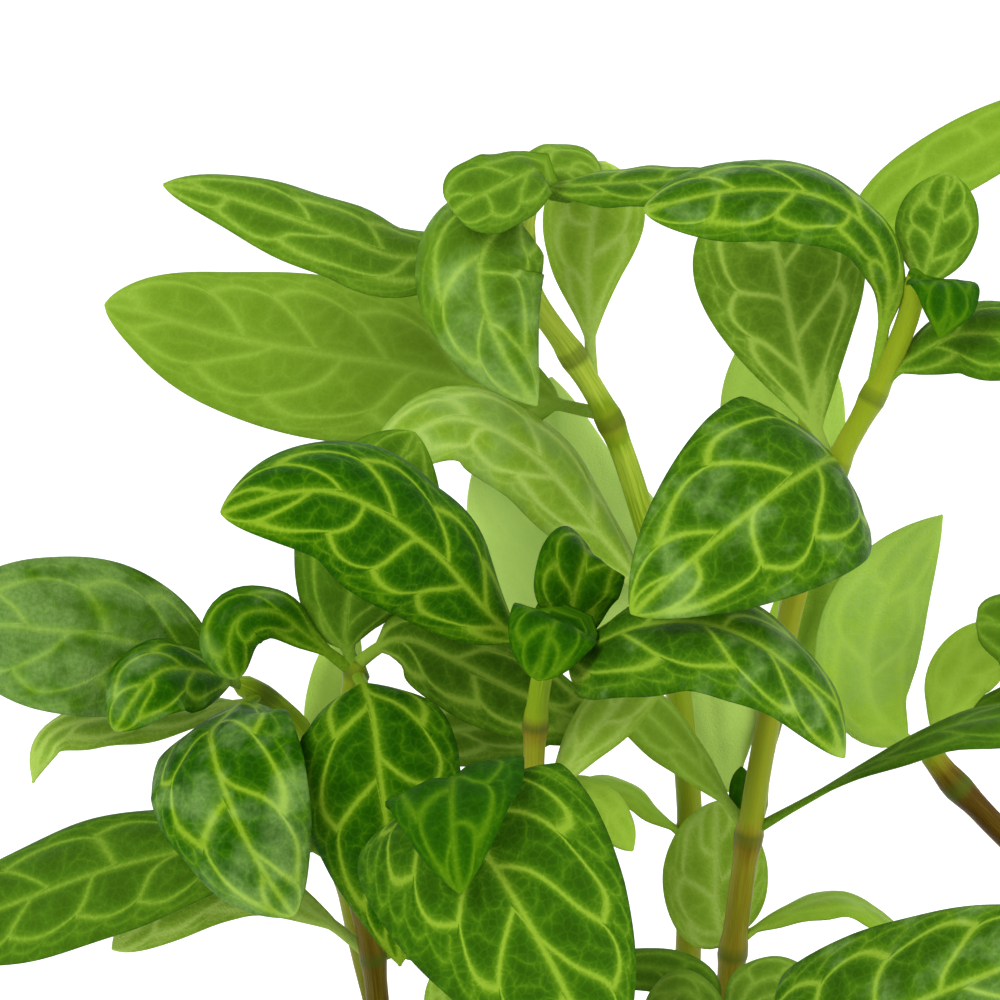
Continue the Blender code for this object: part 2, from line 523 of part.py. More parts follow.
def make_pot(scene):
    """The pot: tapered, with a turned-out rim, two rows of upright slots and slots in its floor."""
    lip = POT_HEIGHT - RIM_HEIGHT
    profile = [
        (0.6, 0), (POT_FOOT_RADIUS - 0.6, 0), (pot_radius(0.6), 0.6), (pot_radius(lip), lip),
        (POT_TOP_RADIUS + RIM_REACH - 0.4, lip), (POT_TOP_RADIUS + RIM_REACH, lip + 0.5),
        (POT_TOP_RADIUS + RIM_REACH, POT_HEIGHT - 0.6), (POT_TOP_RADIUS + RIM_REACH - 0.6, POT_HEIGHT),
        (POT_TOP_RADIUS - POT_WALL + 0.4, POT_HEIGHT),
        (pot_radius(POT_HEIGHT - 0.5) - POT_WALL, POT_HEIGHT - 0.5),
        (pot_radius(POT_FLOOR) - POT_WALL, POT_FLOOR), (0.6, POT_FLOOR),
    ]
    pot = mesh_object("pot", *turned(profile, POT_SIDES), scene)
    plug = helper_collection("middle")
    mesh_object("hub", *disc_body([(1.2, 0), (1.2, POT_FLOOR)], 12), plug)
    combined(pot, plug, "UNION")
    cutters = helper_collection("slots")
    for row, (low, high) in enumerate(SLOT_ROWS):
        for k in range(SLOTS_ROUND):
            turn = 2 * math.pi * (k + 0.5 * row) / SLOTS_ROUND
            centre = (pot_radius((low + high) / 2), 0, (low + high) / 2)
            block("slot", (8, SLOT_WIDTH, high - low), centre, turn, cutters)
    near, far = FLOOR_SLOT_REACH
    for k in range(FLOOR_SLOTS):
        turn = 2 * math.pi * (k + 0.5) / FLOOR_SLOTS
        size = (far - near, SLOT_WIDTH, 3 * POT_FLOOR)
        block("slot", size, ((near + far) / 2, 0, POT_FLOOR / 2), turn, cutters)
    combined(pot, cutters, "DIFFERENCE")
    return pot


def make_wool(scene):
    """The plug of mineral wool, with a straight hole for each stem."""
    low = POT_FLOOR + GAP
    rings = [(pot_radius(low) - POT_WALL - GAP - 0.8, low), (pot_radius(low + 1) - POT_WALL - GAP, low + 1),
             (pot_radius(WOOL_TOP - 1) - POT_WALL - GAP, WOOL_TOP - 1),
             (pot_radius(WOOL_TOP) - POT_WALL - GAP - 0.9, WOOL_TOP)]
    wool = mesh_object("wool_plug", *disc_body(rings, WOOL_SIDES), scene)
    cutters = helper_collection("holes")
    for stem in STEMS.values():
        x, y = stem["root"]
        radius = stem["radii"][0] + 2 * GAP
        points, faces = disc_body([(radius, WOOL_TOP - HOLE_DEPTH), (radius, WOOL_TOP + 2)], 12)
        mesh_object("hole", points + np.array((x, y, 0)), faces, cutters)
    combined(wool, cutters, "DIFFERENCE")
    return wool


def make_stems(scene):
    """The leafy stems, each with its leaves grown on as one body."""
    leaves = seen_leaves()
    leaves.update(grown_leaves(leaves))
    stems = []
    for name in STEMS:
        stem = mesh_object(f"stem_{name}", *stem_solid(name), scene)
        blades = helper_collection("blades")
        for blade in leaves.values():
            if blade["stem"] == name:
                mesh_object("blade", *blade_solid(blade), blades)
        combined(stem, blades, "UNION")
        stems.append(stem)
    return stems


def triangulated(obj):
    mesh = bmesh.new()
    mesh.from_mesh(obj.data)
    bmesh.ops.triangulate(mesh, faces=mesh.faces[:])
    mesh.to_mesh(obj.data)
    mesh.free()


def painted(obj, name, colour, roughness):
    material = bpy.data.materials.new(name)
    material.use_nodes = True
    shader = material.node_tree.nodes["Principled BSDF"]
    shader.inputs["Base Color"].default_value = (*colour, 1)
    shader.inputs["Roughness"].default_value = roughness
    obj.data.materials.clear()
    obj.data.materials.append(material)
    for face in obj.data.polygons:
        face.material_index = 0


def main():
    for obj in list(bpy.data.objects):
        bpy.data.objects.remove(obj, do_unlink=True)
    scene = bpy.context.scene.collection
    pot = make_pot(scene)
    painted(pot, "black plastic", (0.012, 0.012, 0.013), 0.45)
    wool = make_wool(scene)
    painted(wool, "mineral wool", (0.30, 0.25, 0.16), 0.95)
    for stem in make_stems(scene):
        triangulated(stem)
        painted(stem, f"{stem.name} leaf green", (0.05, 0.16, 0.015), 0.45)


if __name__ == "__main__":
    main()
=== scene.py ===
"""Potted hygrophila: the finish of its leaves, stems, wool and pot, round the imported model.

Lengths are millimetres until a mesh is made, which is in metres. Stems and leaves follow the same routes and
midribs as the model's solids, with thinner blades, veins, waved margins and round stalks.
"""

import math
import random
from itertools import product

import bpy
import numpy as np
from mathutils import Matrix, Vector
from mathutils.bvhtree import BVHTree


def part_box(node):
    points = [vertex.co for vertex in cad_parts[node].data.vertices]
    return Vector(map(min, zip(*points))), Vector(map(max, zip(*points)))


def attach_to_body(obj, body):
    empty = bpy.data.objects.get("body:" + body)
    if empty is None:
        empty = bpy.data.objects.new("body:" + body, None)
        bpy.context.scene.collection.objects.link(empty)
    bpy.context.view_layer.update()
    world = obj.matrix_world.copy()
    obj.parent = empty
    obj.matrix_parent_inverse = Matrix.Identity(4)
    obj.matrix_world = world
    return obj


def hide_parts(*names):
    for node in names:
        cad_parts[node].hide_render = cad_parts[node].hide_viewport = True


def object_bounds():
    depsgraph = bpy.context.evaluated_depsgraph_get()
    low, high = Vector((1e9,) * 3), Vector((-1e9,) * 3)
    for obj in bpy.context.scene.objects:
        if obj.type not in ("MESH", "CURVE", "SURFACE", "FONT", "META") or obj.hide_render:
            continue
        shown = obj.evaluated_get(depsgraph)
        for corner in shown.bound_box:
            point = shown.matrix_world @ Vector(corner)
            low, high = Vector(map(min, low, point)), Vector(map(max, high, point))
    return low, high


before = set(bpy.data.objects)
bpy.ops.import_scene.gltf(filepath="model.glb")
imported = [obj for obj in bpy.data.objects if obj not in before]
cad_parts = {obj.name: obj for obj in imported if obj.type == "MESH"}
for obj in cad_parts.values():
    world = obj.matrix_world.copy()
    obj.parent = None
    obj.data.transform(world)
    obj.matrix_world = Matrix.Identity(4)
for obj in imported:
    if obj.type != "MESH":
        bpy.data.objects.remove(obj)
cad_low, cad_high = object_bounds()

MM = 0.001

# The front view: its downward slope, the eye's distance, the point that it looks at, half its height
VIEW_SLOPE = math.radians(15)
VIEW_DISTANCE = 400.0
VIEW_CENTRE = np.array((-6.1, -10.0, 125.0))
VIEW_HALF_HEIGHT = 43.5
VIEW_FORWARD = np.array((0.0, math.cos(VIEW_SLOPE), -math.sin(VIEW_SLOPE)))
VIEW_UPWARD = np.array((0.0, math.sin(VIEW_SLOPE), math.cos(VIEW_SLOPE)))

# The model's own values, which place the leaves that grow below the view
GAP = 0.3
WOOL_TOP = 46.5
HOLE_DEPTH = 26.0
LEAF_THICKNESS = 0.65
PETIOLE_HALF_WIDTH = 0.6
PETIOLE_SHARE = 0.1
TIP_HALF_WIDTH = 0.3
STEM_SIDES = 6
STEM_STEP = 9.0
NODE_SWELL = 1.25
NODE_REACH = 2.2
STEM_CLEARANCE = 1.4
SEED = 7
HIDDEN_BELOW = -1.0
LOWEST_LEAF = 54.0
FIRST_PAIR = (9, 13)
PAIR_STEP = (11, 14)
PAIR_TURN = 0.3
HIGHEST_PAIR = 84
LEAF_LIFT = (0.2, 0.32)
LEAF_LENGTHS = (30, 26, 22, 18, 14)
LEAF_SWINGS = (0, 0.35, -0.35, 0.7, -0.7)
WIDTH_SHARE = 0.4

# The finish of the leaves
BLADE_THICKNESS = 0.32
EDGE_THICKNESS = 0.14
STALK_THICKNESS = 0.95
STALK_END = 0.13
FINE_TIP_HALF_WIDTH = 0.1
MARGIN_PLACE = 0.97
QUILT = 0.3
GROOVE = 0.3
RIB_DEPTH = 0.35
WAVE = 0.16

# How far apart the side veins leave the midrib, and where their loops run, as shares of the half width
VEIN_SPACING = 7.8
LOOP_START = 0.52
LOOP_RISE = 0.06
LOOP_BOW = 0.17
LOOP_LEAN = 0.7
OUTER_LOOP = 0.8
OUTER_BOW = 0.08
VEIN_COUNT = (3, 6)
VEIN_RISE = 0.9
VEIN_BEND = 0.45

# How finely leaves (rows, columns) and stems are cut, and how far their relief reaches
FINE_GRID = (84, 36)
PLAIN_GRID = (44, 20)
MARGIN_WAVES = 3.3
QUILT_REACH = 1.3
GROOVE_REACH = 0.8
RIB_REACH = 0.45
TUBE_SIDES = 24
RIDGE_SHARE = 0.035
NODE_SOFTNESS = 1.1
STEM_TIP_SHARE = 0.55

# Loose fibres on the wool
FIBRES = 900
FIBRE_STEPS = 6
FIBRE_LENGTH = (2, 6)
FIBRE_HEIGHT = (0.1, 0.9)
FIBRE_BEND = 0.9
FIBRE_RADIUS = (0.03, 0.07)
FIBRE_SINK = 0.08
FIBRE_EDGE = 1.6
FIBRE_CLEARANCE = 2

# The veins' width where a leaf is dark, what paleness adds to it, and how much wider their glow is
VEIN_WIDTH = 0.31
PALE_VEIN_WIDTH = 0.5
GLOW_WIDTH = 2.9
GLOW_SHARE = 0.38
CORE_SHARE = 0.62
FINE_NET_SHARE = 0.12
COARSE_NET_SCALE = 0.34
FINE_NET_SCALE = 1.15
SWAY = (2.6, 2.6, 0.0)
SMALL_SWAY = (0.8, 0.8, 0.0)

# Leaf colours from between the veins to their middle: dark leaves, paler and the palest leaves, whose
# paleness is painted light shining through them from behind, and undersides
DEEP_GREEN = (0.0, (16, 58, 0)), (0.25, (34, 82, 1)), (0.6, (70, 112, 6)), (1.0, (116, 149, 30))
HALF_BACKLIT_GREEN = (0.0, (128, 166, 36)), (0.5, (154, 188, 62)), (1.0, (184, 210, 106))
BACKLIT_GREEN = (0.0, (180, 212, 110)), (0.5, (198, 224, 116)), (1.0, (214, 232, 138))
UNDERSIDE = (0.0, (58, 112, 6)), (1.0, (140, 176, 58))
# Painted sheen on the leaves: a grey-green haze, glints, and brighter veins where the haze lies
PAINTED_HAZE_COLOUR = (112, 150, 68)
PAINTED_GLINT_COLOUR = (146, 174, 112)
PAINTED_VEIN_HIGHLIGHT_COLOUR = (158, 188, 92)

# Stem colours from green to red
STEM_COLOURS = (
    (0.0, (176, 196, 66)), (0.2, (120, 150, 22)), (0.5, (132, 140, 28)), (0.75, (122, 108, 22)),
    (1.0, (78, 52, 8)),
)
NODE_COLOUR = (74, 92, 22)

# The studio, in metres and watts: each light's name, place, size and power
LIT_POINT = (0, 0, 0.12)
LIGHTS = (
    ("key", (-0.45, -0.55, 0.75), 0.5, 5.5),
    ("fill", (0.7, -0.4, 0.45), 0.6, 3),
    ("back", (0.2, 0.8, 0.6), 0.8, 1.5),
)
FLOOR_REACH = 4.0
FLOOR_GLOW = 0.35
SKY_STRENGTH = 0.75
BEVEL_WIDTH = 0.00025
BEVEL_ANGLE = math.radians(40)
WELD_DISTANCE = 0.00001
SENSOR_WIDTH = 36


def placed(across, up, back):
    """The point that the front view shows there, lying that far back from the pot's axis."""
    eye = VIEW_CENTRE - VIEW_FORWARD * VIEW_DISTANCE
    ray = VIEW_FORWARD * VIEW_DISTANCE + VIEW_UPWARD * (up - VIEW_HALF_HEIGHT)
    ray[0] += across - VIEW_CENTRE[0]
    return eye + ray * ((back - eye[1]) / ray[1])


def seen(point):
    """(across, up) of a point in the front view, the reverse of placed()."""
    offset = np.asarray(point) - VIEW_CENTRE
    scale = VIEW_DISTANCE / (VIEW_DISTANCE + offset @ VIEW_FORWARD)
    return VIEW_CENTRE[0] + offset[0] * scale, VIEW_HALF_HEIGHT + (offset @ VIEW_UPWARD) * scale


def smooth_line(points, count):
    """count + 1 points, evenly spaced, on a smooth curve through the given points."""
    p = np.array(points, float)
    t = np.concatenate([[0.0], np.cumsum(np.linalg.norm(np.diff(p, axis=0), axis=1))])
    step = np.diff(p, axis=0) / np.diff(t)[:, None]
    slope = np.empty_like(p)
    slope[1:-1] = (p[2:] - p[:-2]) / (t[2:] - t[:-2])[:, None]
    slope[0] = (3 * step[0] - slope[1]) / 2 if len(p) > 2 else step[0]
    slope[-1] = (3 * step[-1] - slope[-2]) / 2 if len(p) > 2 else step[0]
    fine = []
    for i in range(len(p) - 1):
        h = t[i + 1] - t[i]
        u = np.linspace(0, 1, 25)[:, None]
        fine.append(
            (2 * u**3 - 3 * u**2 + 1) * p[i]
            + (u**3 - 2 * u**2 + u) * h * slope[i]
            + (3 * u**2 - 2 * u**3) * p[i + 1]
            + (u**3 - u**2) * h * slope[i + 1]
        )
    fine = np.concatenate(fine)
    run = np.concatenate([[0.0], np.cumsum(np.linalg.norm(np.diff(fine, axis=0), axis=1))])
    even = np.linspace(0, run[-1], count + 1)
    return np.stack([np.interp(even, run, fine[:, k]) for k in range(3)], axis=1)


# Stems, each with the place where it stands in the wool (x, y), its radius there and at its tip, the heights
# in the view of the nodes that show, and the points that its route passes (across, up, back).
STEMS = {
    "a": dict(root=(6, 1), radii=(1.25, 0.95), nodes=(4.2, 14.2, 46.3, 52.5), route=((12.2, -9, -1),
        (13.6, 0, -2), (15.2, 12, -3), (17, 23, -4), (19.5, 35, -5), (23.2, 46.5, -5), (26.3, 52.4, -4),
        (28.5, 57, -4), (29.7, 60.5, -4), (29.9, 63.2, -4))),
    "b": dict(root=(-1, -8), radii=(1.05, 0.9), nodes=(2, 15.5, 24), route=((-2.2, -10, -10),
        (-2.4, 2, -11), (-3.2, 15, -12), (-3.0, 24, -12), (-2.4, 28.5, -12.5), (-1.8, 31, -13))),
    "c": dict(root=(-9, 6), radii=(1.15, 0.9), nodes=(11, 26.5), route=((-14, -10, 4), (-17.6, 2, 3),
        (-19.6, 11, 2), (-20.8, 18, 1), (-23.4, 23.6, 0), (-26.4, 26.2, -1.5), (-29.1, 27.7, -3))),
    "d": dict(root=(-7, -3), radii=(1.1, 0.95), nodes=(3.8, 10.3, 19, 28.5), route=((-12.5, -12, -4),
        (-16.2, -3, -5), (-17.2, 4, -5), (-18.5, 9.5, -6), (-19.8, 17.5, -6.5), (-19.2, 25, -7),
        (-18.4, 29.3, -7))),
    "f": dict(root=(-5, -13), radii=(1.15, 0.95), nodes=(-7, 4, 18), route=((-7, -12, -17), (-9, 4, -20),
        (-10.4, 14, -21), (-10.4, 18.6, -22))),
    "s": dict(root=(5, 10), radii=(1.3, 1.0), nodes=(14, 33, 50.4, 56, 66), route=((9.4, -8, 10),
        (10.3, 5, 10), (10.4, 16, 10), (9.4, 27, 10), (8.2, 35, 10), (6.4, 42, 9.5), (3.5, 50.3, 9),
        (0, 56.4, 8.5), (-3.4, 61.6, 8), (-4.2, 66.3, 8), (-3.4, 70.4, 8))),
    "v": dict(root=(11, 11), radii=(1.1, 0.9), nodes=(17, 24, 36, 57), route=((13, -5, 14), (14.4, 5, 14),
        (15.4, 13, 14), (17.3, 24, 14), (19.2, 35, 14), (20.5, 45, 14), (20.8, 57, 16))),
    "r": dict(root=(13, 2), radii=(1.25, 1.1), nodes=(5, 18.6), route=((17, -14, 4), (29, -9, 6),
        (38, -3, 7.5), (42.5, 4, 8), (41, 10.5, 9), (36, 16.2, 9), (33, 19.3, 9), (31, 22, 9))),
    "g": dict(root=(8, -11), radii=(1.15, 0.9), nodes=(-6,), route=((10.5, -22, -14), (12.7, -12, -18),
        (13.6, -4, -20))),
}


def stem_line(name):
    """The stem's route from its foot in the wool to its tip, in steps of about 1 mm."""
    x, y = STEMS[name]["root"]
    foot = WOOL_TOP - HOLE_DEPTH + GAP
    points = [(x, y, foot), (x, y, (foot + WOOL_TOP) / 2), (x, y, WOOL_TOP), (x, y, WOOL_TOP + 2.5)]
    points += [placed(*p) for p in STEMS[name]["route"]]
    length = sum(math.dist(a, b) for a, b in zip(points, points[1:]))
    return smooth_line(points, round(length))


def on_stem(name, up):
    """The point on a stem's route that shows at that height in the front view."""
    line = stem_line(name)
    heights = np.array([seen(p)[1] for p in line])
    return line[np.abs(heights - up).argmin()]


def facing(tilt, lean=0):
    """The way a blade's upper face looks: up, tilted to the viewer, then leant to the right, in degrees."""
    a, b = math.radians(tilt), math.radians(lean)
    return np.array((math.sin(b), -math.sin(a) * math.cos(b), math.cos(a) * math.cos(b)))


def leaf(stem, attach, *spine, width, tilt, lean=0, base=0.9, tip=0.7, curl=25, fine=False):
    """A leaf seen in the front view: it leaves its stem at the height attach and its midrib passes the
    spine's points. base and tip shape its outline: small for a round end, large for one drawn out."""
    return dict(
        stem=stem,
        spine=[on_stem(stem, attach)] + [placed(*p) for p in spine],
        width=width,
        face=facing(tilt, lean),
        base=base,
        tip=tip,
        curl=math.radians(curl),
        fine=fine,
    )


def seen_leaves():
    """The leaves that the front view shows, by name."""
    return {
        "a_right": leaf("a", 14.2, (19.5, 16.8, -3.5), (26, 20.5, -4.5), (34, 24.1, -6), (47, 25.5, -8),
            width=9, tilt=8, base=1.8),
        "a_left": leaf("a", 14.6, (12.9, 18.2, -2), (10, 21.6, -1.5), (6.5, 25.2, -1), (2.5, 29.5, 0),
            width=6, tilt=35, base=1.2),
        "a_front": leaf("a", 46.3, (22.8, 47, -10), (21.6, 46.6, -15.5), (17.8, 44.1, -19.5),
            (11.4, 39, -21.5), (5.3, 33.6, -22), width=18.6, tilt=28, lean=38, base=0.42, tip=0.76,
            fine=True),
        "a_back": leaf("a", 46.0, (21.5, 49.5, -2), (20.6, 53, 0), (19.4, 58, 1.5), (18.2, 64, 3),
            (16.6, 71.5, 3), width=15.4, tilt=75, base=1.5, curl=10, fine=True),
        "a_arch": leaf("a", 52.6, (27.2, 58, -4), (27.7, 62.8, -5), (26, 67, -6), (21.5, 70, -7),
            (14.5, 70.5, -8), (6.4, 68.6, -9), width=10.5, tilt=35, base=1.5, curl=35, fine=True),
        "a_far": leaf("a", 53.4, (29.6, 55.7, -4.5), (34.5, 58, -6), (46, 56.3, -9), width=9, tilt=40),
        "a_young_up": leaf("a", 61, (30.9, 63.5, -2.5), (31.9, 67, -0.5), (33, 72, 0.5), width=7.5,
            tilt=80),
        "a_young_down": leaf("a", 63, (31.3, 62.6, -6.5), (32.7, 62.3, -8.8), (32.9, 60.6, -9.9),
            (32.1, 57.6, -10.2), width=6.6, tilt=35, lean=20, base=0.8, tip=1.0, curl=8),
        "a_low_back": leaf("a", 4, (12.8, 7, 1), (12.7, 12, 2.5), (12.7, 17.3, 3), width=10, tilt=75,
            base=0.6),
        "a_low_right": leaf("a", 4.4, (19, 7.8, -1.5), (24, 8.9, -1), (29.5, 5.4, -1), width=7, tilt=0),
        "a_bud": leaf("a", 14, (15, 17, -1), (14.9, 20.3, -0.5), width=2.4, tilt=70),
        "b_left": leaf("b", 29.5, (-6.5, 33, -14), (-12.5, 39.6, -17), (-21, 44.3, -19.5),
            (-30.4, 42.3, -21), width=14.5, tilt=46, base=0.75, curl=38, fine=True),
        "b_right": leaf("b", 28.8, (0.8, 30.2, -14.5), (5.6, 32.5, -17), (11.5, 32.9, -18.5),
            (17.2, 30.6, -19.5), (21.6, 26.2, -19.5), (23.8, 21.1, -19), width=14.8, tilt=24, base=0.32,
            curl=38, fine=True),
        "b_young_front": leaf("b", 30, (-1.1, 32.6, -15), (-1.2, 33, -17), (-1.9, 31.4, -18.6),
            (-2.8, 27.8, -19.2), width=8, tilt=40, lean=8, base=0.5, tip=0.6, curl=10),
        "b_young_back": leaf("b", 30, (-0.2, 33, -12.5), (0.6, 36, -12), (1.5, 38.8, -10.5),
            (2, 38.6, -7.5), width=8, tilt=45, lean=18, base=0.75, tip=0.6, curl=8),
        "b_mid_right": leaf("b", 15.5, (0.8, 21.8, -10), (4, 25.6, -8.5), (8, 30.5, -8), width=5.5, tilt=70,
            base=1.3),
        "b_mid_low": leaf("b", 15.5, (0.5, 18, -9), (3, 16.7, -7.5), (5.4, 13, -6.5), width=4.6, tilt=45),
        "b_curl": leaf("b", 2, (4, 2.8, -13), (8, 2.7, -14.5), (11.3, 1.6, -15.5), (12.4, -1.5, -16),
            width=4.5, tilt=45),
        "c_left": leaf("c", 27.2, (-34, 29.8, -4), (-40, 31.6, -5), (-46, 32.3, -6), (-56, 33.3, -7),
            width=15, tilt=60, base=0.65, fine=True),
        "c_small": leaf("c", 27.5, (-32.2, 28.7, -6), (-36, 28.4, -9.5), (-39.6, 23.4, -13), width=8.6,
            tilt=45, base=0.65, curl=35, fine=True),
        "c_front": leaf("c", 26.5, (-31, 23.8, -11), (-31.1, 21.6, -15.5), (-29.6, 17, -18.5),
            (-27.2, 12, -20), (-24, 7.3, -20.5), width=15.2, tilt=30, lean=-28, base=0.62, fine=True),
        "c_under": leaf("c", 26, (-34, 25.2, 0), (-41, 24.5, 2), (-45.2, 23, 3), (-46.7, 18.9, 3), width=7,
            tilt=25, tip=1.0),
        "c_pale": leaf("c", 19, (-21.6, 23.8, 3), (-20.6, 27.5, 4), (-19, 33, 5), width=4.5, tilt=75),
        "d_up": leaf("d", 28.5, (-19.6, 32.6, -6), (-18.4, 38, -5), (-16.4, 44, -5), (-13.5, 49.4, -5),
            width=13, tilt=75, base=0.7),
        "d_arch": leaf("d", 28.8, (-22.8, 31.6, -7), (-25.6, 33.7, -7.5), (-28.5, 33.5, -8.2),
            (-29.7, 31.2, -9), (-28.9, 27.9, -9.4), width=6, tilt=50, base=1.2, tip=0.6),
        "d_front": leaf("d", 28.5, (-17.9, 27, -10.5), (-17.1, 24.5, -13.5), (-16.5, 19.5, -15.5),
            (-15.6, 12.5, -16), (-14.8, 3, -14), width=14.8, tilt=35, base=0.45, tip=0.9, fine=True),
        "d_right": leaf("d", 29, (-14.6, 31.4, -7), (-10, 29.6, -7), (-5, 27, -7), (4, 23, -7), width=9,
            tilt=55, base=0.5),
        "d_mid": leaf("d", 19, (-15, 22.2, -4), (-9, 23.6, -2), (1, 24.8, 0), width=7, tilt=50),
        "d_low_left": leaf("d", 10.3, (-23, 13.6, -7), (-30, 13.6, -8), (-40, 11.5, -8.5), (-48, 8.6, -8.5),
            (-58, 4.8, -8), width=12.5, tilt=42, fine=True),
        "d_lowest_left": leaf("d", 3.8, (-22, 7.4, -4.5), (-28, 9.9, -4), (-34, 8.6, -3.5),
            (-39.8, 4.4, -3), width=6.6, tilt=55, base=1.2),
        "d_low_right": leaf("d", 3.8, (-14, 4.6, -3), (-9, 5.6, -2), (-3, 5, 0), width=5.5, tilt=50),
        "f_front": leaf("f", 18, (-10.9, 17.8, -26), (-10.2, 16.9, -30.5), (-7.2, 12.6, -34),
            (-2.9, 5.5, -36), (3.5, -7, -37), width=21, tilt=30, lean=-14, base=0.33, curl=18, fine=True),
        "f_young": leaf("f", 18.5, (-10.3, 19.4, -26.5), (-10.2, 19.2, -31.5), (-10.3, 17, -35),
            (-10.1, 13.4, -37.5), (-9.5, 9.2, -38.5), width=12.4, tilt=40, lean=-10, base=0.4, tip=0.85,
            curl=12, fine=True),
        "f_low": leaf("f", -7, (-9.8, -4, -18), (-11, -0.5, -17), (-11, 3.2, -16), width=3.6, tilt=60),
        "s_cascade": leaf("s", 67.5, (-5.3, 68, 4), (-7.8, 64.2, 1.5), (-6.8, 58.4, -0.5), (-2.9, 51.7, -1),
            width=11.8, tilt=65, base=0.45, tip=0.85, fine=True),
        "s_top": leaf("s", 69.8, (-2.9, 72.2, 5.6), (-5.4, 71.1, 3.2), (-8.2, 69.8, 1.9),
            (-10.2, 68.6, 1.2), width=8, tilt=50, base=0.75, tip=0.35, curl=15),
        "s_top_back": leaf("s", 69.8, (-3.6, 71.4, 8.5), (-1.4, 72.2, 9.5), (0.8, 72.1, 10.5),
            (2.5, 70.6, 11), width=6.4, tilt=50, base=0.6, tip=0.6),
        "s_up": leaf("s", 53.5, (1.7, 58.5, 10), (1.6, 64.5, 12), (3, 73, 13), width=9.5, tilt=75,
            base=1.8),
        "s_left": leaf("s", 66, (-14.6, 64.6, 6.8), (-20, 66.5, 6), (-26, 68.6, 5), (-31, 70.2, 4.6),
            (-35.4, 70.9, 4.5), width=8.6, tilt=45, base=0.55),
        "s_far_left": leaf("s", 50.5, (-6, 53, 14), (-14, 55, 17), (-22, 56.3, 19), (-30, 57.8, 21),
            (-36.5, 59.7, 21.6), (-40.5, 60.5, 22), width=16, tilt=65, base=0.7, tip=0.66, fine=True),
        "s_right": leaf("s", 70, (1.5, 70.9, 7), (7.5, 71.3, 6), (13.5, 71.7, 5.5), width=5.8, tilt=28,
            base=0.7),
        "s_arch": leaf("s", 33, (3, 40, 9), (-3.5, 47.6, 7), (-10.5, 50.6, 5.5), (-17.6, 45.8, 3),
            width=10.5, tilt=35),
        "s_pale": leaf("s", 34, (2.2, 37.4, 16), (-1.8, 43.6, 20), (-1.6, 54.2, 21), width=18, tilt=75,
            base=0.5, tip=0.85),
        "s_low_left": leaf("s", 14, (7.4, 16.3, 9), (5.2, 18.1, 8.5), (2.5, 18.6, 8), (-2, 17.4, 7),
            width=4.4, tilt=20),
        "v_up_right": leaf("v", 57, (23.5, 62.5, 18), (27.5, 69, 21), (34.5, 73.8, 24), (46, 79.6, 27),
            width=6.8, tilt=65),
        "v_up": leaf("v", 36, (19, 42, 17), (18.6, 50, 18), (18.2, 60, 18.5), width=12, tilt=80),
        "v_pale": leaf("v", 17, (13.4, 20, 14), (12.4, 25, 13.8), (12, 31, 13.8), width=9, tilt=75),
        "v_mid_right": leaf("v", 24, (19.5, 28, 15), (22.5, 33.5, 17), (25, 38.8, 17.5), width=10.5,
            tilt=75),
        "r_left": leaf("r", 21.5, (27, 24.6, 10), (25.8, 29, 11), (27.5, 35.4, 12.5), (32.4, 42.2, 13),
            width=10, tilt=70, base=0.7, tip=0.92),
        "r_up": leaf("r", 21.5, (32.7, 25.2, 8), (33.8, 28.1, 7.5), (35.7, 30.2, 7), (38, 31.8, 6.5),
            width=6.4, tilt=60, tip=0.5),
        "r_right": leaf("r", 21.9, (35, 24.6, 8), (40.4, 26.2, 5.5), (41.6, 29.6, 3.6), (38.8, 32.2, 2.6),
            (35.3, 32.8, 2), width=7.8, tilt=60, tip=0.4),
        "g_right": leaf("g", -6, (15, -5, -24), (17.5, -4.6, -28.5), (25, -2.2, -31), (35, 1.8, -32.5),
            (47, 6.5, -32.5), width=18, tilt=50, lean=-20, base=0.5, fine=True),
        "g_back": leaf("g", -4, (15.5, 0.8, -17), (18, 2, -15.5), (22, 1.1, -15), width=5, tilt=40),
        "g_left": leaf("g", -6, (12, -1, -19), (9.7, 0.8, -19), (6.5, -2, -18), width=4.5, tilt=45),
    }


def half_widths(blade, share, tip_half_width=TIP_HALF_WIDTH):
    """The blade's half width at these shares of its length, counted from the stem."""
    along = np.clip((share - PETIOLE_SHARE) / (1 - PETIOLE_SHARE), 0, 1)
    widest = blade["base"] / (blade["base"] + blade["tip"])
    shape = (along / widest) ** blade["base"] * ((1 - along) / (1 - widest)) ** blade["tip"]
    least = PETIOLE_HALF_WIDTH + (tip_half_width - PETIOLE_HALF_WIDTH) * share
    return np.maximum(shape * blade["width"] / 2, least)


def blade_directions(blade, tangent):
    """The blade's normals and sideways directions along its midrib."""
    tangent = tangent / np.linalg.norm(tangent, axis=1)[:, None]
    normal = blade["face"] - (tangent @ blade["face"])[:, None] * tangent
    normal /= np.linalg.norm(normal, axis=1)[:, None]
    return normal, np.cross(normal, tangent)


def curled(blade, centre, directions, half, places, wave=0.0):
    """Points and upward normals of a surface curled round the midrib."""
    normal, side = directions
    most = blade["curl"]
    turn = most * places
    reach = half[:, None] * np.sin(turn) / most
    drop = -half[:, None] * (1 - np.cos(turn)) / most + wave
    points = centre[:, None] + side[:, None] * reach[..., None] + normal[:, None] * drop[..., None]
    up = normal[:, None] * np.cos(turn)[:, None] + side[:, None] * np.sin(turn)[:, None]
    return points, up


def blade_surface(blade, along, across):
    """Points and upward normals of the blade's middle surface, (along + 1) x (across + 1) x 3 each."""
    line = smooth_line(blade["spine"], along * 4)
    share = np.linspace(0, 1, along + 1)
    directions = blade_directions(blade, np.gradient(line, axis=0)[::4])
    return curled(blade, line[::4], directions, half_widths(blade, share), np.linspace(-1, 1, across + 1))


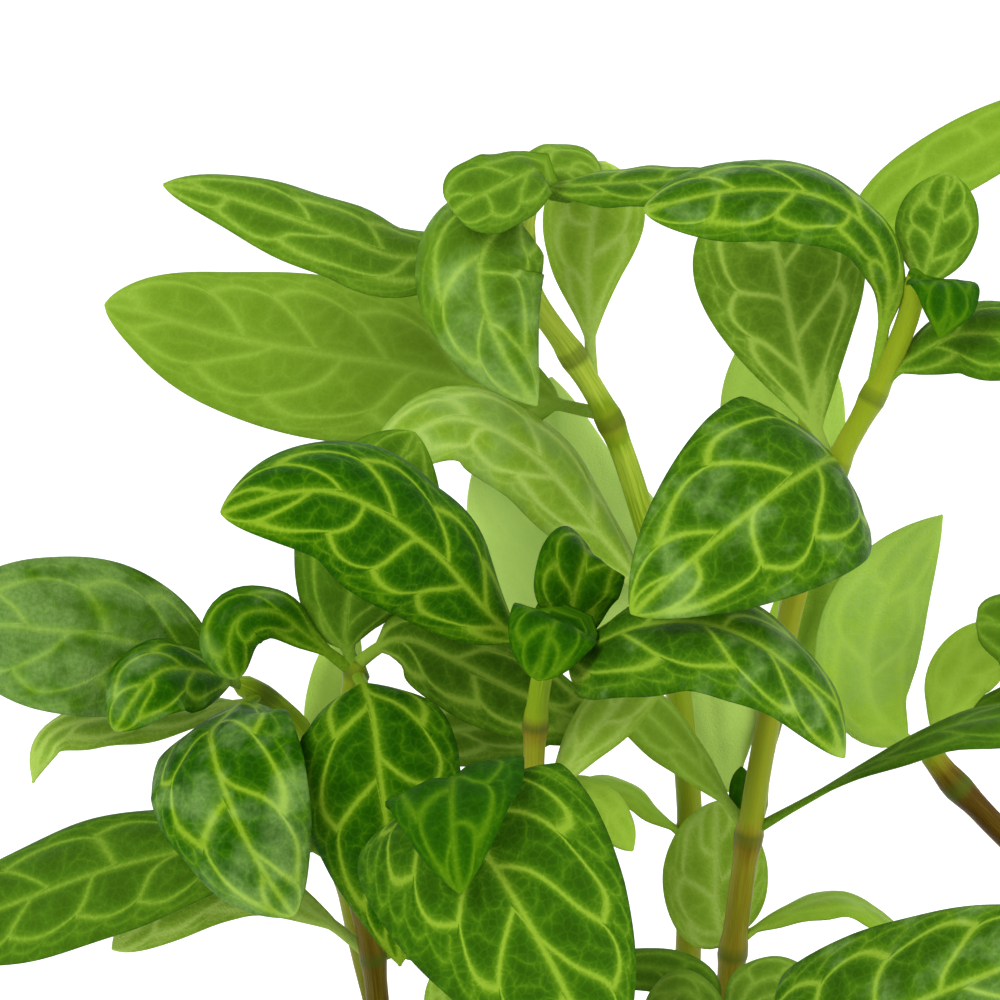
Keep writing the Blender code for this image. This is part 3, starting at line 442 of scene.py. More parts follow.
def blade_solid(blade):
    """Vertices and triangles of a leaf as a closed solid, split alike on both faces."""
    along, across = (8, 4) if blade["fine"] else (7, 2)
    middle, up = blade_surface(blade, along, across)
    columns = across + 1
    half = up * LEAF_THICKNESS / 2
    points = np.concatenate([(middle + half).reshape(-1, 3), (middle - half).reshape(-1, 3)])
    under = (along + 1) * columns
    faces = []
    for i in range(along):
        for j in range(across):
            a, b = i * columns + j, (i + 1) * columns + j
            faces += [(a, b, b + 1), (a, b + 1, a + 1)]
            faces += [(under + b + 1, under + b, under + a), (under + a + 1, under + b + 1, under + a)]
        a, b = i * columns, (i + 1) * columns
        faces += [(a, under + a, under + b), (a, under + b, b)]
        a, b = a + across, b + across
        faces += [(a, b, under + b), (a, under + b, under + a)]
    for a in range(across):
        b = along * columns + a
        faces += [(a, a + 1, under + a + 1), (a, under + a + 1, under + a)]
        faces += [(b, under + b, under + b + 1), (b, under + b + 1, b + 1)]
    return points, faces


def stem_radius(name, line, index):
    """The stem's radius at a point of its line, thicker at a node."""
    thick, thin = STEMS[name]["radii"]
    radius = thick + (thin - thick) * index / (len(line) - 1)
    up = seen(line[index])[1]
    near = min(abs(up - node) for node in STEMS[name]["nodes"])
    return radius * (1 + (NODE_SWELL - 1) * max(0.0, 1 - near / NODE_REACH))


def stem_solid(name):
    """Vertices and triangles of a stem as a closed tube."""
    line = stem_line(name)
    ups = np.array([seen(p)[1] for p in line])
    stops = set(np.linspace(0, len(line) - 1, round(len(line) / STEM_STEP) + 1).round().astype(int))
    for node in STEMS[name]["nodes"]:
        middle = int(np.abs(ups - node).argmin())
        stops = {k for k in stops if abs(k - middle) > 3 or k in (0, len(line) - 1)}
        stops |= {k for k in (middle - 2, middle, middle + 2) if 0 < k < len(line) - 1}
    stops = sorted(stops)
    tangent = np.gradient(line, axis=0)
    side = np.array((1.0, 0.0, 0.0))
    points, faces = [], []
    for k in stops:
        t = tangent[k] / np.linalg.norm(tangent[k])
        side = side - (side @ t) * t
        side /= np.linalg.norm(side)
        other = np.cross(t, side)
        radius = stem_radius(name, line, k)
        for j in range(STEM_SIDES):
            turn = 2 * math.pi * j / STEM_SIDES
            points.append(line[k] + radius * (math.cos(turn) * side + math.sin(turn) * other))
    n = STEM_SIDES
    for i in range(len(stops) - 1):
        for j in range(n):
            a, b = i * n + j, i * n + (j + 1) % n
            faces += [(a, b, b + n), (a, b + n, a + n)]
    last = (len(stops) - 1) * n
    for j in range(1, n - 1):
        faces += [(0, j + 1, j), (last, last + j, last + j + 1)]
    return np.array(points), faces


def grown_leaf(stem, start, turn, length, lift):
    """A leaf below the view: it leaves the stem in the direction turn, rises by lift and arches over."""
    out = np.array((math.cos(turn), math.sin(turn), 0.0))
    steps = ((0.3, lift), (0.65, lift * 1.25), (0.95, lift * 0.8))
    spine = [start] + [start + out * length * a + np.array((0, 0, length * b)) for a, b in steps]
    return dict(
        stem=stem, spine=spine, width=length * WIDTH_SHARE, face=np.array((0.0, 0.0, 1.0)) - 0.2 * out,
        base=0.8, tip=0.7, curl=math.radians(25), fine=False,
    )


def clear_of(blade, trees, own):
    """Whether a leaf keeps its distance from everything grown so far, its own stem's foot of leaf aside."""
    middle, _ = blade_surface(blade, 12, 4)
    for i, row in enumerate(middle):
        for point in row:
            if seen(point)[1] > HIDDEN_BELOW or point[2] < LOWEST_LEAF:
                return False
            for name, tree in trees:
                if name == own and i < 4:
                    continue
                if tree.find_nearest(Vector(point), STEM_CLEARANCE)[0] is not None:
                    return False
    return True


def tree_of(solid):
    points, faces = solid
    return BVHTree.FromPolygons([Vector(p) for p in points], faces)


def grown_leaves(leaves):
    """Pairs of leaves below the view, each a quarter turn from the last, where there is room for them."""
    rng = random.Random(SEED)
    trees = [(name, tree_of(stem_solid(name))) for name in STEMS]
    trees += [(blade["stem"], tree_of(blade_solid(blade))) for blade in leaves.values()]
    grown = {}
    for name in STEMS:
        line = stem_line(name)
        turn = rng.uniform(0, math.pi)
        height = WOOL_TOP + rng.uniform(*FIRST_PAIR)
        number = 0
        while height < HIGHEST_PAIR:
            start = line[np.abs(line[:, 2] - height).argmin()]
            lift = rng.uniform(*LEAF_LIFT)
            for side in (0, math.pi):
                for size, swing in product(LEAF_LENGTHS, LEAF_SWINGS):
                    blade = grown_leaf(name, start, turn + side + swing, size, lift)
                    if clear_of(blade, trees, name):
                        number += 1
                        grown[f"{name}_grown_{number}"] = blade
                        trees.append((name, tree_of(blade_solid(blade))))
                        break
            turn += math.pi / 2 + rng.uniform(-PAIR_TURN, PAIR_TURN)
            height += rng.uniform(*PAIR_STEP)
    return grown


# How each leaf looks, all from 0 to 1: how pale it is, which is painted light shining through it from behind,
# how strongly its veins show, and how much of its face has a painted sheen. f_front and the leaves below the
# view are as in DEFAULT_LOOK.
DEFAULT_LOOK = (0.02, 1.0, 0.12)
LOOKS = {
    "a_right": (0.05, 0.6, 0.1), "a_left": (0.22, 0.6, 0.1), "a_back": (0.12, 1.0, 0.1),
    "a_front": (0.02, 1.0, 0.38), "a_arch": (0.02, 0.95, 0.32), "a_far": (0.04, 0.8, 0.2),
    "a_young_up": (0.06, 0.8, 0.1), "a_young_down": (0.0, 0.5, 0.35), "a_low_back": (0.28, 0.8, 0.1),
    "a_low_right": (0.32, 0.4, 0.1), "a_bud": (0.0, 0.3, 0.1), "b_left": (0.0, 1.0, 0.2),
    "b_right": (0.02, 1.0, 0.35), "b_young_front": (0.0, 0.6, 0.2), "b_young_back": (0.0, 0.8, 0.3),
    "b_mid_right": (0.28, 0.8, 0.1), "b_mid_low": (0.36, 0.4, 0.1), "b_curl": (0.06, 0.6, 0.2),
    "c_left": (0.04, 0.65, 0.52), "c_small": (0.0, 0.85, 0.45), "c_front": (0.0, 1.0, 0.43),
    "c_under": (0.2, 1.0, 0.1), "c_pale": (0.65, 0.2, 0.1), "d_arch": (0.0, 0.75, 0.4),
    "d_up": (0.06, 0.7, 0.1), "d_front": (0.0, 1.0, 0.1), "d_right": (0.05, 1.0, 0.1),
    "d_mid": (0.12, 1.0, 0.1),
    "d_low_left": (0.05, 0.75, 0.1), "d_lowest_left": (0.22, 1.0, 0.1), "d_low_right": (0.12, 0.7, 0.1),
    "f_young": (0.0, 0.58, 0.2), "f_low": (0.18, 0.7, 0.1), "s_cascade": (0.08, 0.8, 0.5),
    "s_top": (0.08, 0.7, 0.3), "s_top_back": (0.12, 0.7, 0.2), "s_up": (0.33, 0.8, 0.1),
    "s_left": (0.08, 0.8, 0.2), "s_far_left": (0.22, 0.55, 0.1), "s_right": (0.04, 0.8, 0.1),
    "s_arch": (0.28, 0.9, 0.4), "s_pale": (1.0, 0.2, 0.2), "s_low_left": (0.36, 0.3, 0.1),
    "v_up_right": (0.24, 0.4, 0.1), "v_up": (0.6, 0.2, 0.2), "v_pale": (0.85, 0.2, 0.2),
    "v_mid_right": (0.44, 0.4, 0.1), "r_left": (0.44, 0.3, 0.6), "r_up": (0.42, 0.4, 0.2),
    "r_right": (0.08, 0.6, 0.2), "g_right": (0.03, 1.0, 0.35), "g_back": (0.12, 0.7, 0.2),
    "g_left": (0.12, 0.6, 0.1),
}

# How red each stem is, from 0 to 1, at heights in the front view
REDNESS = {
    "a": ((-20, 0.9), (3, 0.7), (12, 0.65), (14, 0.85), (16, 0.45), (30, 0.5), (45, 0.5), (47, 0.36),
          (60, 0.34)),
    "b": ((-20, 0.8), (10, 0.6), (22.5, 0.55), (23.6, 0.9), (24.8, 0.25), (31, 0.15)),
    "c": ((-20, 0.8), (10, 0.5), (20, 0.25), (30, 0.15)),
    "d": ((-20, 1.0), (8, 0.85), (12, 0.6), (30, 0.3)),
    "f": ((-20, 0.8), (10, 0.5), (19, 0.25)),
    "s": ((-20, 0.7), (20, 0.4), (38, 0.25), (48, 0.06), (50, 0.45), (53, 0.05), (70, 0.0)),
    "v": ((-20, 0.7), (20, 0.45), (60, 0.2)),
    "r": ((-20, 1.0), (18.5, 1.0), (19.8, 0.9), (21.2, 0.5), (22.5, 0.25)),
    "g": ((-30, 0.6), (-4, 0.3)),
}


def fine_surface(blade, shares, places, rng):
    """Points, upward normals and half widths of a blade's middle surface, at these shares of its length and
    of its half width."""
    line = smooth_line(blade["spine"], 240)
    even = np.linspace(0, 1, len(line))
    tangents = np.gradient(line, axis=0)
    centre = np.stack([np.interp(shares, even, line[:, k]) for k in range(3)], axis=1)
    tangent = np.stack([np.interp(shares, even, tangents[:, k]) for k in range(3)], axis=1)
    along = np.clip((shares - PETIOLE_SHARE) / (1 - PETIOLE_SHARE), 0, 1)
    half = half_widths(blade, shares, FINE_TIP_HALF_WIDTH)
    phase = rng.uniform(0, 2 * math.pi)
    waves = 2 * math.pi * MARGIN_WAVES * along[:, None] + phase + np.where(places < 0, 2.0, 0.0)
    wave = WAVE * np.abs(places) ** 3 * np.sin(waves) * np.minimum(half / 4, 1)[:, None]
    points, up = curled(blade, centre, blade_directions(blade, tangent), half, places, wave)
    return points, up, half


def vein_places(shares, places, half, length, rng):
    """Where a blade's points lie among its side veins: the count of veins passed, the share of the way to the
    margin, and the millimetres from one vein to the next."""
    count = min(max(round(length / VEIN_SPACING), VEIN_COUNT[0]), VEIN_COUNT[1])
    along = (shares[:, None] - PETIOLE_SHARE) / (1 - PETIOLE_SHARE)
    out = np.abs(places)[None, :] * np.ones_like(along)
    ratio = half.max() / length
    rise = ratio * (VEIN_RISE * out + VEIN_BEND * out**3)
    slope = ratio * (VEIN_RISE + 3 * VEIN_BEND * out**2)
    lag = np.where(places < 0, rng.uniform(0.2, 0.8), 0.0)[None, :]
    turns = [rng.uniform(0, 2 * math.pi) for _ in range(4)]
    sway = 0.16 * np.sin(5.1 * along + 2.4 * places[None, :] + turns[0])
    sway = sway + 0.07 * np.sin(13 * along + 5 * places[None, :] + turns[1])
    passed = count * (along - rise) + lag + sway
    drift = 0.05 * np.sin(6 * along + turns[2] + 2 * places[None, :])
    drift = drift + 0.03 * np.sin(17 * along + turns[3])
    wide = np.maximum(half, 0.5)[:, None]
    between = 1 / (count * np.sqrt(1 / length**2 + (slope / wide) ** 2))
    return passed, out + drift * np.minimum(1, 3 * out), between


def vein_distance(passed, out, between, half, across):
    """Millimetres from the nearest main vein: midrib, side veins and the loops that join them."""
    part = passed - np.floor(passed)
    to_side = np.minimum(part, 1 - part) * between + 4 * np.clip((out - 0.56) / 0.1, 0, 1)
    loop = LOOP_START + LOOP_RISE * part + LOOP_BOW * np.sin(math.pi * part**LOOP_LEAN)
    to_loop = np.abs(out - loop) * half[:, None]
    return np.minimum(np.minimum(np.abs(across), to_side), to_loop)


def leaf_mesh(name, blade):
    """A leaf as a closed thin solid, with what its material reads at each point."""
    rng = random.Random(name)
    rows, columns = FINE_GRID if blade["fine"] else PLAIN_GRID
    even = np.linspace(0, 1, rows + 1)
    shares = 0.5 * even + 0.25 * (1 - np.cos(math.pi * even))
    inner = np.linspace(-MARGIN_PLACE, MARGIN_PLACE, columns - 1)
    places = np.concatenate([[-1.0], inner, [1.0]])
    points, up, half = fine_surface(blade, shares, places, rng)
    length = sum(math.dist(a, b) for a, b in zip(blade["spine"], blade["spine"][1:]))
    across = places[None, :] * half[:, None]
    passed, out, between = vein_places(shares, places, half, length, rng)
    near = vein_distance(passed, out, between, half, across)
    blade_part = np.clip((shares - STALK_END) / 0.1, 0, 1)[:, None]
    wide = np.minimum(half / 6, 1)[:, None]
    fade = 1 - np.abs(places[None, :]) ** 6
    relief = QUILT * (1 - np.exp(-((near / QUILT_REACH) ** 2)))
    relief = relief - GROOVE * np.exp(-((across / GROOVE_REACH) ** 2))
    relief = relief * wide * fade * blade_part
    thick = EDGE_THICKNESS + (BLADE_THICKNESS - EDGE_THICKNESS) * fade
    stalk = np.exp(-((shares / STALK_END) ** 2))[:, None]
    thick = thick + (STALK_THICKNESS - BLADE_THICKNESS) * stalk * np.sqrt(1 - places[None, :] ** 2)
    rib = RIB_DEPTH * np.exp(-((across / RIB_REACH) ** 2)) * (1 - shares)[:, None] * blade_part
    top = points + up * (relief + thick / 2)[..., None]
    under = points + up * (relief - thick / 2 - rib)[..., None]
    count = top.shape[0] * top.shape[1]
    corner = np.arange(count).reshape(top.shape[:2])
    a, b, c, d = corner[:-1, :-1], corner[1:, :-1], corner[1:, 1:], corner[:-1, 1:]
    faces = [np.stack([a, b, c, d], -1).reshape(-1, 4)]
    faces.append(np.stack([d, c, b, a], -1).reshape(-1, 4) + count)
    for edge in (corner[:, 0][::-1], corner[:, -1], corner[0], corner[-1][::-1]):
        faces.append(np.stack([edge[:-1], edge[1:], edge[1:] + count, edge[:-1] + count], -1))
    flat = np.stack([shares[:, None] * length + 0 * across, across, 0 * across + rng.uniform(0, 90)], -1)
    veins = np.stack([passed, out, between], -1)
    # Paleness is painted light shining through the leaf from behind, and the last value is a painted sheen
    painted_backlight, strength, painted_sheen = LOOKS.get(name, DEFAULT_LOOK)
    look = np.stack([0 * across + painted_backlight, 0 * across + strength, 0 * across + half[:, None] / 20], -1)
    twice = lambda grid: np.concatenate([grid.reshape(-1, 3)] * 2)
    face = np.concatenate([np.zeros(count), np.ones(count)])
    return dict(
        points=np.concatenate([top.reshape(-1, 3), under.reshape(-1, 3)]),
        faces=np.concatenate(faces), veins=twice(veins), flat=twice(flat),
        look=np.concatenate([twice(look), face[:, None]], axis=1), painted_sheen=np.full(2 * count, painted_sheen), leaf=True,
    )


def stem_mesh(name):
    """A stem as a closed round tube, thicker at its nodes, with what its material reads at each point."""
    sides = TUBE_SIDES
    line = stem_line(name)
    ups = np.array([seen(p)[1] for p in line])
    thick, thin = STEMS[name]["radii"]
    share = np.linspace(0, 1, len(line))
    near = np.min([np.abs(ups - node) for node in STEMS[name]["nodes"]], axis=0)
    swell = 1 + (NODE_SWELL - 1) * np.exp(-((near / NODE_SOFTNESS) ** 2))
    radius = (thick + (thin - thick) * share) * swell
    radius[-1] *= STEM_TIP_SHARE
    tangent = np.gradient(line, axis=0)
    tangent /= np.linalg.norm(tangent, axis=1)[:, None]
    side = np.array((1.0, 0.0, 0.0))
    turn = 2 * math.pi * np.arange(sides) / sides
    rings = []
    for k, t in enumerate(tangent):
        side = side - (side @ t) * t
        side /= np.linalg.norm(side)
        ridged = radius[k] * (1 + RIDGE_SHARE * np.cos(4 * turn))[:, None]
        outward = np.cos(turn)[:, None] * side + np.sin(turn)[:, None] * np.cross(t, side)
        rings.append(line[k] + ridged * outward)
    points = np.concatenate(rings)
    count = len(points)
    first = np.arange(len(line) - 1)[:, None] * sides
    a = (first + np.arange(sides)).ravel()
    b = (first + (np.arange(sides) + 1) % sides).ravel()
    faces = np.stack([a, b, b + sides, a + sides], -1)
    levels, reds = zip(*REDNESS[name])
    red = np.interp(ups, levels, reds)
    run = np.arange(len(line), dtype=float)
    veins = np.stack([np.repeat(red, sides), np.repeat(near, sides), np.zeros(count)], -1)
    round_about = [np.tile(np.cos(turn), len(line)), np.tile(np.sin(turn), len(line))]
    flat = np.stack([np.repeat(run, sides)] + round_about, -1)
    ends = [list(range(sides - 1, -1, -1)), list(range(count - sides, count))]
    return dict(
        points=points, faces=faces, ends=ends, veins=veins, flat=flat,
        look=np.zeros((count, 4)), painted_sheen=np.zeros(count), leaf=False,
    )


def shape_piece(name, parts, materials):
    """One object made of several closed parts, each with its own material."""
    points, faces, numbers = [], [], []
    start = 0
    for part in parts:
        points.append(part["points"])
        faces += (part["faces"] + start).tolist()
        numbers += [0 if part["leaf"] else 1] * len(part["faces"])
        for end in part.get("ends", []):
            faces.append([k + start for k in end])
            numbers.append(1)
        start += len(part["points"])
    points = np.clip(np.concatenate(points) * MM, np.array(cad_low), np.array(cad_high))
    mesh = bpy.data.meshes.new(name)
    mesh.from_pydata(points.tolist(), [], faces)
    mesh.polygons.foreach_set("material_index", numbers)
    mesh.polygons.foreach_set("use_smooth", [True] * len(faces))
    # look's first value is the paleness painted as light through the leaf from behind, and the last attribute
    # is the painted sheen
    for key, kind, field in (("veins", "FLOAT_VECTOR", "vector"), ("flat", "FLOAT_VECTOR", "vector"),
                             ("look", "FLOAT_COLOR", "color"), ("painted_sheen", "FLOAT", "value")):
        values = np.concatenate([part[key] for part in parts]).astype(np.float32)
        mesh.attributes.new(key, kind, "POINT").data.foreach_set(field, values.ravel())
    for material in materials:
        mesh.materials.append(material)
    obj = bpy.data.objects.new(name, mesh)
    bpy.context.scene.collection.objects.link(obj)
    return obj


def linear(red, green, blue):
    """A colour given as 0 to 255 screen values."""
    shares = [value / 255 for value in (red, green, blue)]
    return tuple(v / 12.92 if v < 0.0405 else ((v + 0.055) / 1.055) ** 2.4 for v in shares) + (1,)


class Shader:
    """A material's nodes, made one line each."""

    def __init__(self, name):
        self.material = bpy.data.materials.new(name)
        self.material.use_nodes = True
        self.tree = self.material.node_tree
        self.principled = self.tree.nodes["Principled BSDF"]

    def node(self, kind, inputs=(), **settings):
        node = self.tree.nodes.new(kind)
        for key, value in settings.items():
            setattr(node, key, value)
        for key, value in dict(inputs).items():
            self.feed(node.inputs[key], value)
        return node

    def feed(self, socket, value):
        if isinstance(value, bpy.types.NodeSocket):
            self.tree.links.new(value, socket)
        else:
            socket.default_value = value

    def math(self, operation, *values):
        return self.node("ShaderNodeMath", dict(enumerate(values)), operation=operation).outputs[0]

    def ease(self, value, low, high, start=0.0, end=1.0):
        """The value's way from low to high, eased, as start to end."""
        inputs = {"Value": value, "From Min": low, "From Max": high, "To Min": start, "To Max": end}
        return self.node("ShaderNodeMapRange", inputs, interpolation_type="SMOOTHSTEP").outputs["Result"]

    def attribute(self, name):
        return self.node("ShaderNodeAttribute", attribute_name=name)

    def parts(self, vector):
        return self.node("ShaderNodeSeparateXYZ", {0: vector}).outputs

    def point(self, x, y, z=0.0):
        return self.node("ShaderNodeCombineXYZ", {0: x, 1: y, 2: z}).outputs[0]

    def noise(self, vector, scale, detail=2.0, roughness=0.5):
        inputs = {"Vector": vector, "Scale": scale, "Detail": detail, "Roughness": roughness}
        return self.node("ShaderNodeTexNoise", inputs).outputs["Fac"]

    def cells(self, vector, scale):
        """The distance to the edge of the nearest cell, in cells."""
        inputs = {"Vector": vector, "Scale": scale}
        return self.node("ShaderNodeTexVoronoi", inputs, feature="DISTANCE_TO_EDGE",
                         voronoi_dimensions="2D").outputs["Distance"]

    def moved(self, offset, amount, vector):
        """The vector plus amount times the offset."""
        inputs = {0: offset, 1: amount, 2: vector}
        return self.node("ShaderNodeVectorMath", inputs, operation="MULTIPLY_ADD").outputs[0]

    def ramp(self, value, *stops):
        node = self.node("ShaderNodeValToRGB", {"Fac": value})
        elements = node.color_ramp.elements
        while len(elements) < len(stops):
            elements.new(0.5)
        for element, (place, colour) in zip(elements, stops):
            element.position = place
            element.color = linear(*colour)
        return node.outputs["Color"]

    def mix(self, share, one, other):
        node = self.node("ShaderNodeMix", data_type="RGBA")
        self.feed(node.inputs["Factor"], share)
        self.feed(node.inputs["A"], one)
        self.feed(node.inputs["B"], other)
        return node.outputs["Result"]

    def falloff(self, distance, width):
        """1 at no distance, and soon 0 past the width."""
        ratio = self.math("DIVIDE", distance, width)
        return self.math("POWER", self.math("ADD", self.math("MULTIPLY", ratio, ratio), 1.0), -1.5)

    def bump(self, height, depth):
        normal = self.node("ShaderNodeBump", {"Height": height, "Distance": depth}).outputs["Normal"]
        self.feed(self.principled.inputs["Normal"], normal)

    def set(self, **values):
        for key, value in values.items():
            self.feed(self.principled.inputs[key.replace("_", " ")], value)


def leaf_material():
    s = Shader("net_veined_leaf")
    passed, out, between = s.parts(s.attribute("veins").outputs["Vector"])
    flat = s.attribute("flat").outputs["Vector"]
    along, across = s.parts(flat)[:2]
    look = s.attribute("look")
    colours = s.node("ShaderNodeSeparateColor", {"Color": look.outputs["Color"]}).outputs
    # Red is the paleness, painted light shining through the leaf from behind
    painted_backlight, strength = colours["Red"], colours["Green"]
    half = s.math("MULTIPLY", colours["Blue"], 20.0)
    under = look.outputs["Alpha"]

    part = s.math("FRACT", passed)
    bow = s.math("SINE", s.math("MULTIPLY", s.math("POWER", part, LOOP_LEAN), math.pi))
    to_side = s.math("MULTIPLY", s.math("PINGPONG", passed, 0.5), between)
    to_side = s.math("ADD", to_side, s.ease(out, 0.56, 0.64, 0.0, 3.0))
    loop = s.math("MULTIPLY_ADD", part, LOOP_RISE, LOOP_START)
    loop = s.math("MULTIPLY_ADD", bow, LOOP_BOW, loop)
    to_loop = s.math("MULTIPLY", s.math("ABSOLUTE", s.math("SUBTRACT", out, loop)), half)
    twice = s.math("MULTIPLY_ADD", passed, 2.0, 0.3)
    small = s.math("FRACT", twice)
    small_bow = s.math("MULTIPLY", s.math("MULTIPLY", small, s.math("SUBTRACT", 1.0, small)), 4.0)
    outer = s.math("MULTIPLY_ADD", small_bow, OUTER_BOW, OUTER_LOOP)
    to_outer = s.math("MULTIPLY", s.math("ABSOLUTE", s.math("SUBTRACT", out, outer)), half)
    link = s.math("MULTIPLY", s.math("PINGPONG", twice, 0.5), s.math("MULTIPLY", between, 0.5))
    link = s.math("ADD", link, s.ease(out, 0.6, 0.7, 3.0, 0.0))
    link = s.math("ADD", link, s.ease(out, 0.82, 0.9, 0.0, 3.0))
    fainter = s.math("ADD", s.math("MINIMUM", to_outer, link), 0.28)
    to_rib = s.math("MULTIPLY", s.math("ABSOLUTE", across), 0.85)
    near = s.math("SMOOTH_MIN", to_rib, to_side, 0.5)
    near = s.math("SMOOTH_MIN", near, to_loop, 0.5)
    near = s.math("SMOOTH_MIN", near, fainter, 0.35)

    sway = s.node("ShaderNodeTexNoise", {"Vector": flat, "Scale": 0.35, "Detail": 1.0}).outputs["Color"]
    net = s.math("MULTIPLY_ADD", s.cells(s.moved(sway, SWAY, flat), COARSE_NET_SCALE), 2.9, 0.5)
    near = s.math("SMOOTH_MIN", near, net, 0.35)
    fine_net = s.ease(s.cells(s.moved(sway, SMALL_SWAY, flat), FINE_NET_SCALE), 0.0, 0.18, 1.0, 0.0)

    width = s.math("MULTIPLY_ADD", painted_backlight, PALE_VEIN_WIDTH, VEIN_WIDTH)
    core = s.falloff(near, width)
    glow = s.falloff(near, s.math("MULTIPLY", width, GLOW_WIDTH))
    vein = s.math("MULTIPLY_ADD", glow, GLOW_SHARE, s.math("MULTIPLY", core, CORE_SHARE))
    vein = s.math("MULTIPLY_ADD", fine_net, FINE_NET_SHARE, vein)
    vein = s.math("MULTIPLY", vein, strength)
    blotch = s.noise(flat, 0.5, 3.0)
    grain = s.noise(flat, 4.5, 2.0, 0.6)
    tone = s.math("MULTIPLY_ADD", s.math("SUBTRACT", blotch, 0.5), 0.12, vein)
    tone = s.math("MULTIPLY_ADD", s.math("SUBTRACT", grain, 0.5), 0.14, tone)
    # Paler leaves mix towards the paler ramps: painted light shining through them from behind
    deep, middle, backlit = (s.ramp(tone, *stops) for stops in (DEEP_GREEN, HALF_BACKLIT_GREEN, BACKLIT_GREEN))
    colour = s.mix(s.math("MINIMUM", s.math("MULTIPLY", painted_backlight, 2.5), 1.0), deep, middle)
    colour = s.mix(s.math("MAXIMUM", s.math("MULTIPLY_ADD", painted_backlight, 1.67, -0.67), 0.0), colour, backlit)
    # Painted sheen: in patches that grow towards the tip, a grey-green haze that is thinner over the veins,
    # glints, and brighter veins, all painted into the colour
    to_tip = s.math("MULTIPLY_ADD", along, 0.02, 1.0)
    painted_sheen_patch = s.math("MULTIPLY_ADD", s.attribute("painted_sheen").outputs["Fac"], to_tip, s.noise(flat, 0.3, 3.0))
    painted_sheen_patch = s.ease(painted_sheen_patch, 1.0, 1.3)
    painted_haze = s.math("MULTIPLY", painted_sheen_patch, s.math("MULTIPLY_ADD", core, -0.3, 0.36))
    colour = s.mix(painted_haze, colour, linear(*PAINTED_HAZE_COLOUR))
    painted_glints = s.ease(s.noise(flat, 2.6, 3.0, 0.55), 0.3, 0.72, 0.04, 0.24)
    colour = s.mix(s.math("MULTIPLY", painted_sheen_patch, painted_glints), colour, linear(*PAINTED_GLINT_COLOUR))
    painted_vein_highlight = s.math("MULTIPLY", s.math("MULTIPLY", painted_sheen_patch, strength), s.math("MULTIPLY", core, 0.4))
    colour = s.mix(painted_vein_highlight, colour, linear(*PAINTED_VEIN_HIGHLIGHT_COLOUR))
    colour = s.mix(s.math("MULTIPLY", under, 0.45), colour, s.ramp(tone, *UNDERSIDE))

    s.bump(grain, 0.00009)
    rough = s.math("MULTIPLY_ADD", blotch, 0.14, 0.34)
    s.set(Base_Color=colour, Roughness=rough, Specular_IOR_Level=0.05, Specular_Tint=linear(196, 255, 100))
    return s.material


def stem_material():
    s = Shader("stem_skin")
    red, near = s.parts(s.attribute("veins").outputs["Vector"])[:2]
    along, x, y = s.parts(s.attribute("flat").outputs["Vector"])
    streaks = s.noise(s.point(s.math("MULTIPLY", along, 0.12), s.math("MULTIPLY", x, 3.0),
                              s.math("MULTIPLY", y, 3.0)), 1.6, 4.0, 0.6)
    tone = s.math("MULTIPLY_ADD", s.math("SUBTRACT", streaks, 0.5), 0.5, red)
    ring = s.ease(near, 0.15, 0.9, 0.75, 0.0)
    colour = s.mix(ring, s.ramp(tone, *STEM_COLOURS), linear(*NODE_COLOUR))
    place = s.point(s.math("MULTIPLY", along, 0.5), s.math("MULTIPLY", x, 6.0), s.math("MULTIPLY", y, 6.0))
    fine = s.noise(place, 2.0, 3.0)
    s.bump(fine, 0.00006)
    s.set(Base_Color=colour, Roughness=0.38, Specular_IOR_Level=0.12, Specular_Tint=linear(230, 255, 120))
    return s.material


def wool_material():
    s = Shader("mineral_wool")
    place = s.node("ShaderNodeTexCoord").outputs["Object"]
    fibres = s.noise(place, 900.0, 6.0, 0.75)
    tufts = s.noise(place, 160.0, 3.0)
    tone = s.math("MULTIPLY_ADD", tufts, 0.5, s.math("MULTIPLY", fibres, 0.6))
    colour = s.ramp(tone, (0.25, (104, 92, 62)), (0.55, (158, 146, 104)), (0.85, (196, 186, 146)))
    s.bump(s.math("ADD", fibres, tufts), 0.0006)
    s.set(Base_Color=colour, Roughness=0.95, Specular_IOR_Level=0.2)
    return s.material


def plastic_material():
    s = Shader("black_plastic")
    place = s.node("ShaderNodeTexCoord").outputs["Object"]
    grain = s.noise(place, 2600.0, 2.0)
    cloud = s.noise(place, 60.0, 3.0)
    colour = s.ramp(cloud, (0.3, (17, 17, 18)), (0.7, (27, 27, 28)))
    s.bump(grain, 0.00004)
    s.set(Base_Color=colour, Roughness=s.math("MULTIPLY_ADD", cloud, 0.18, 0.34))
    return s.material


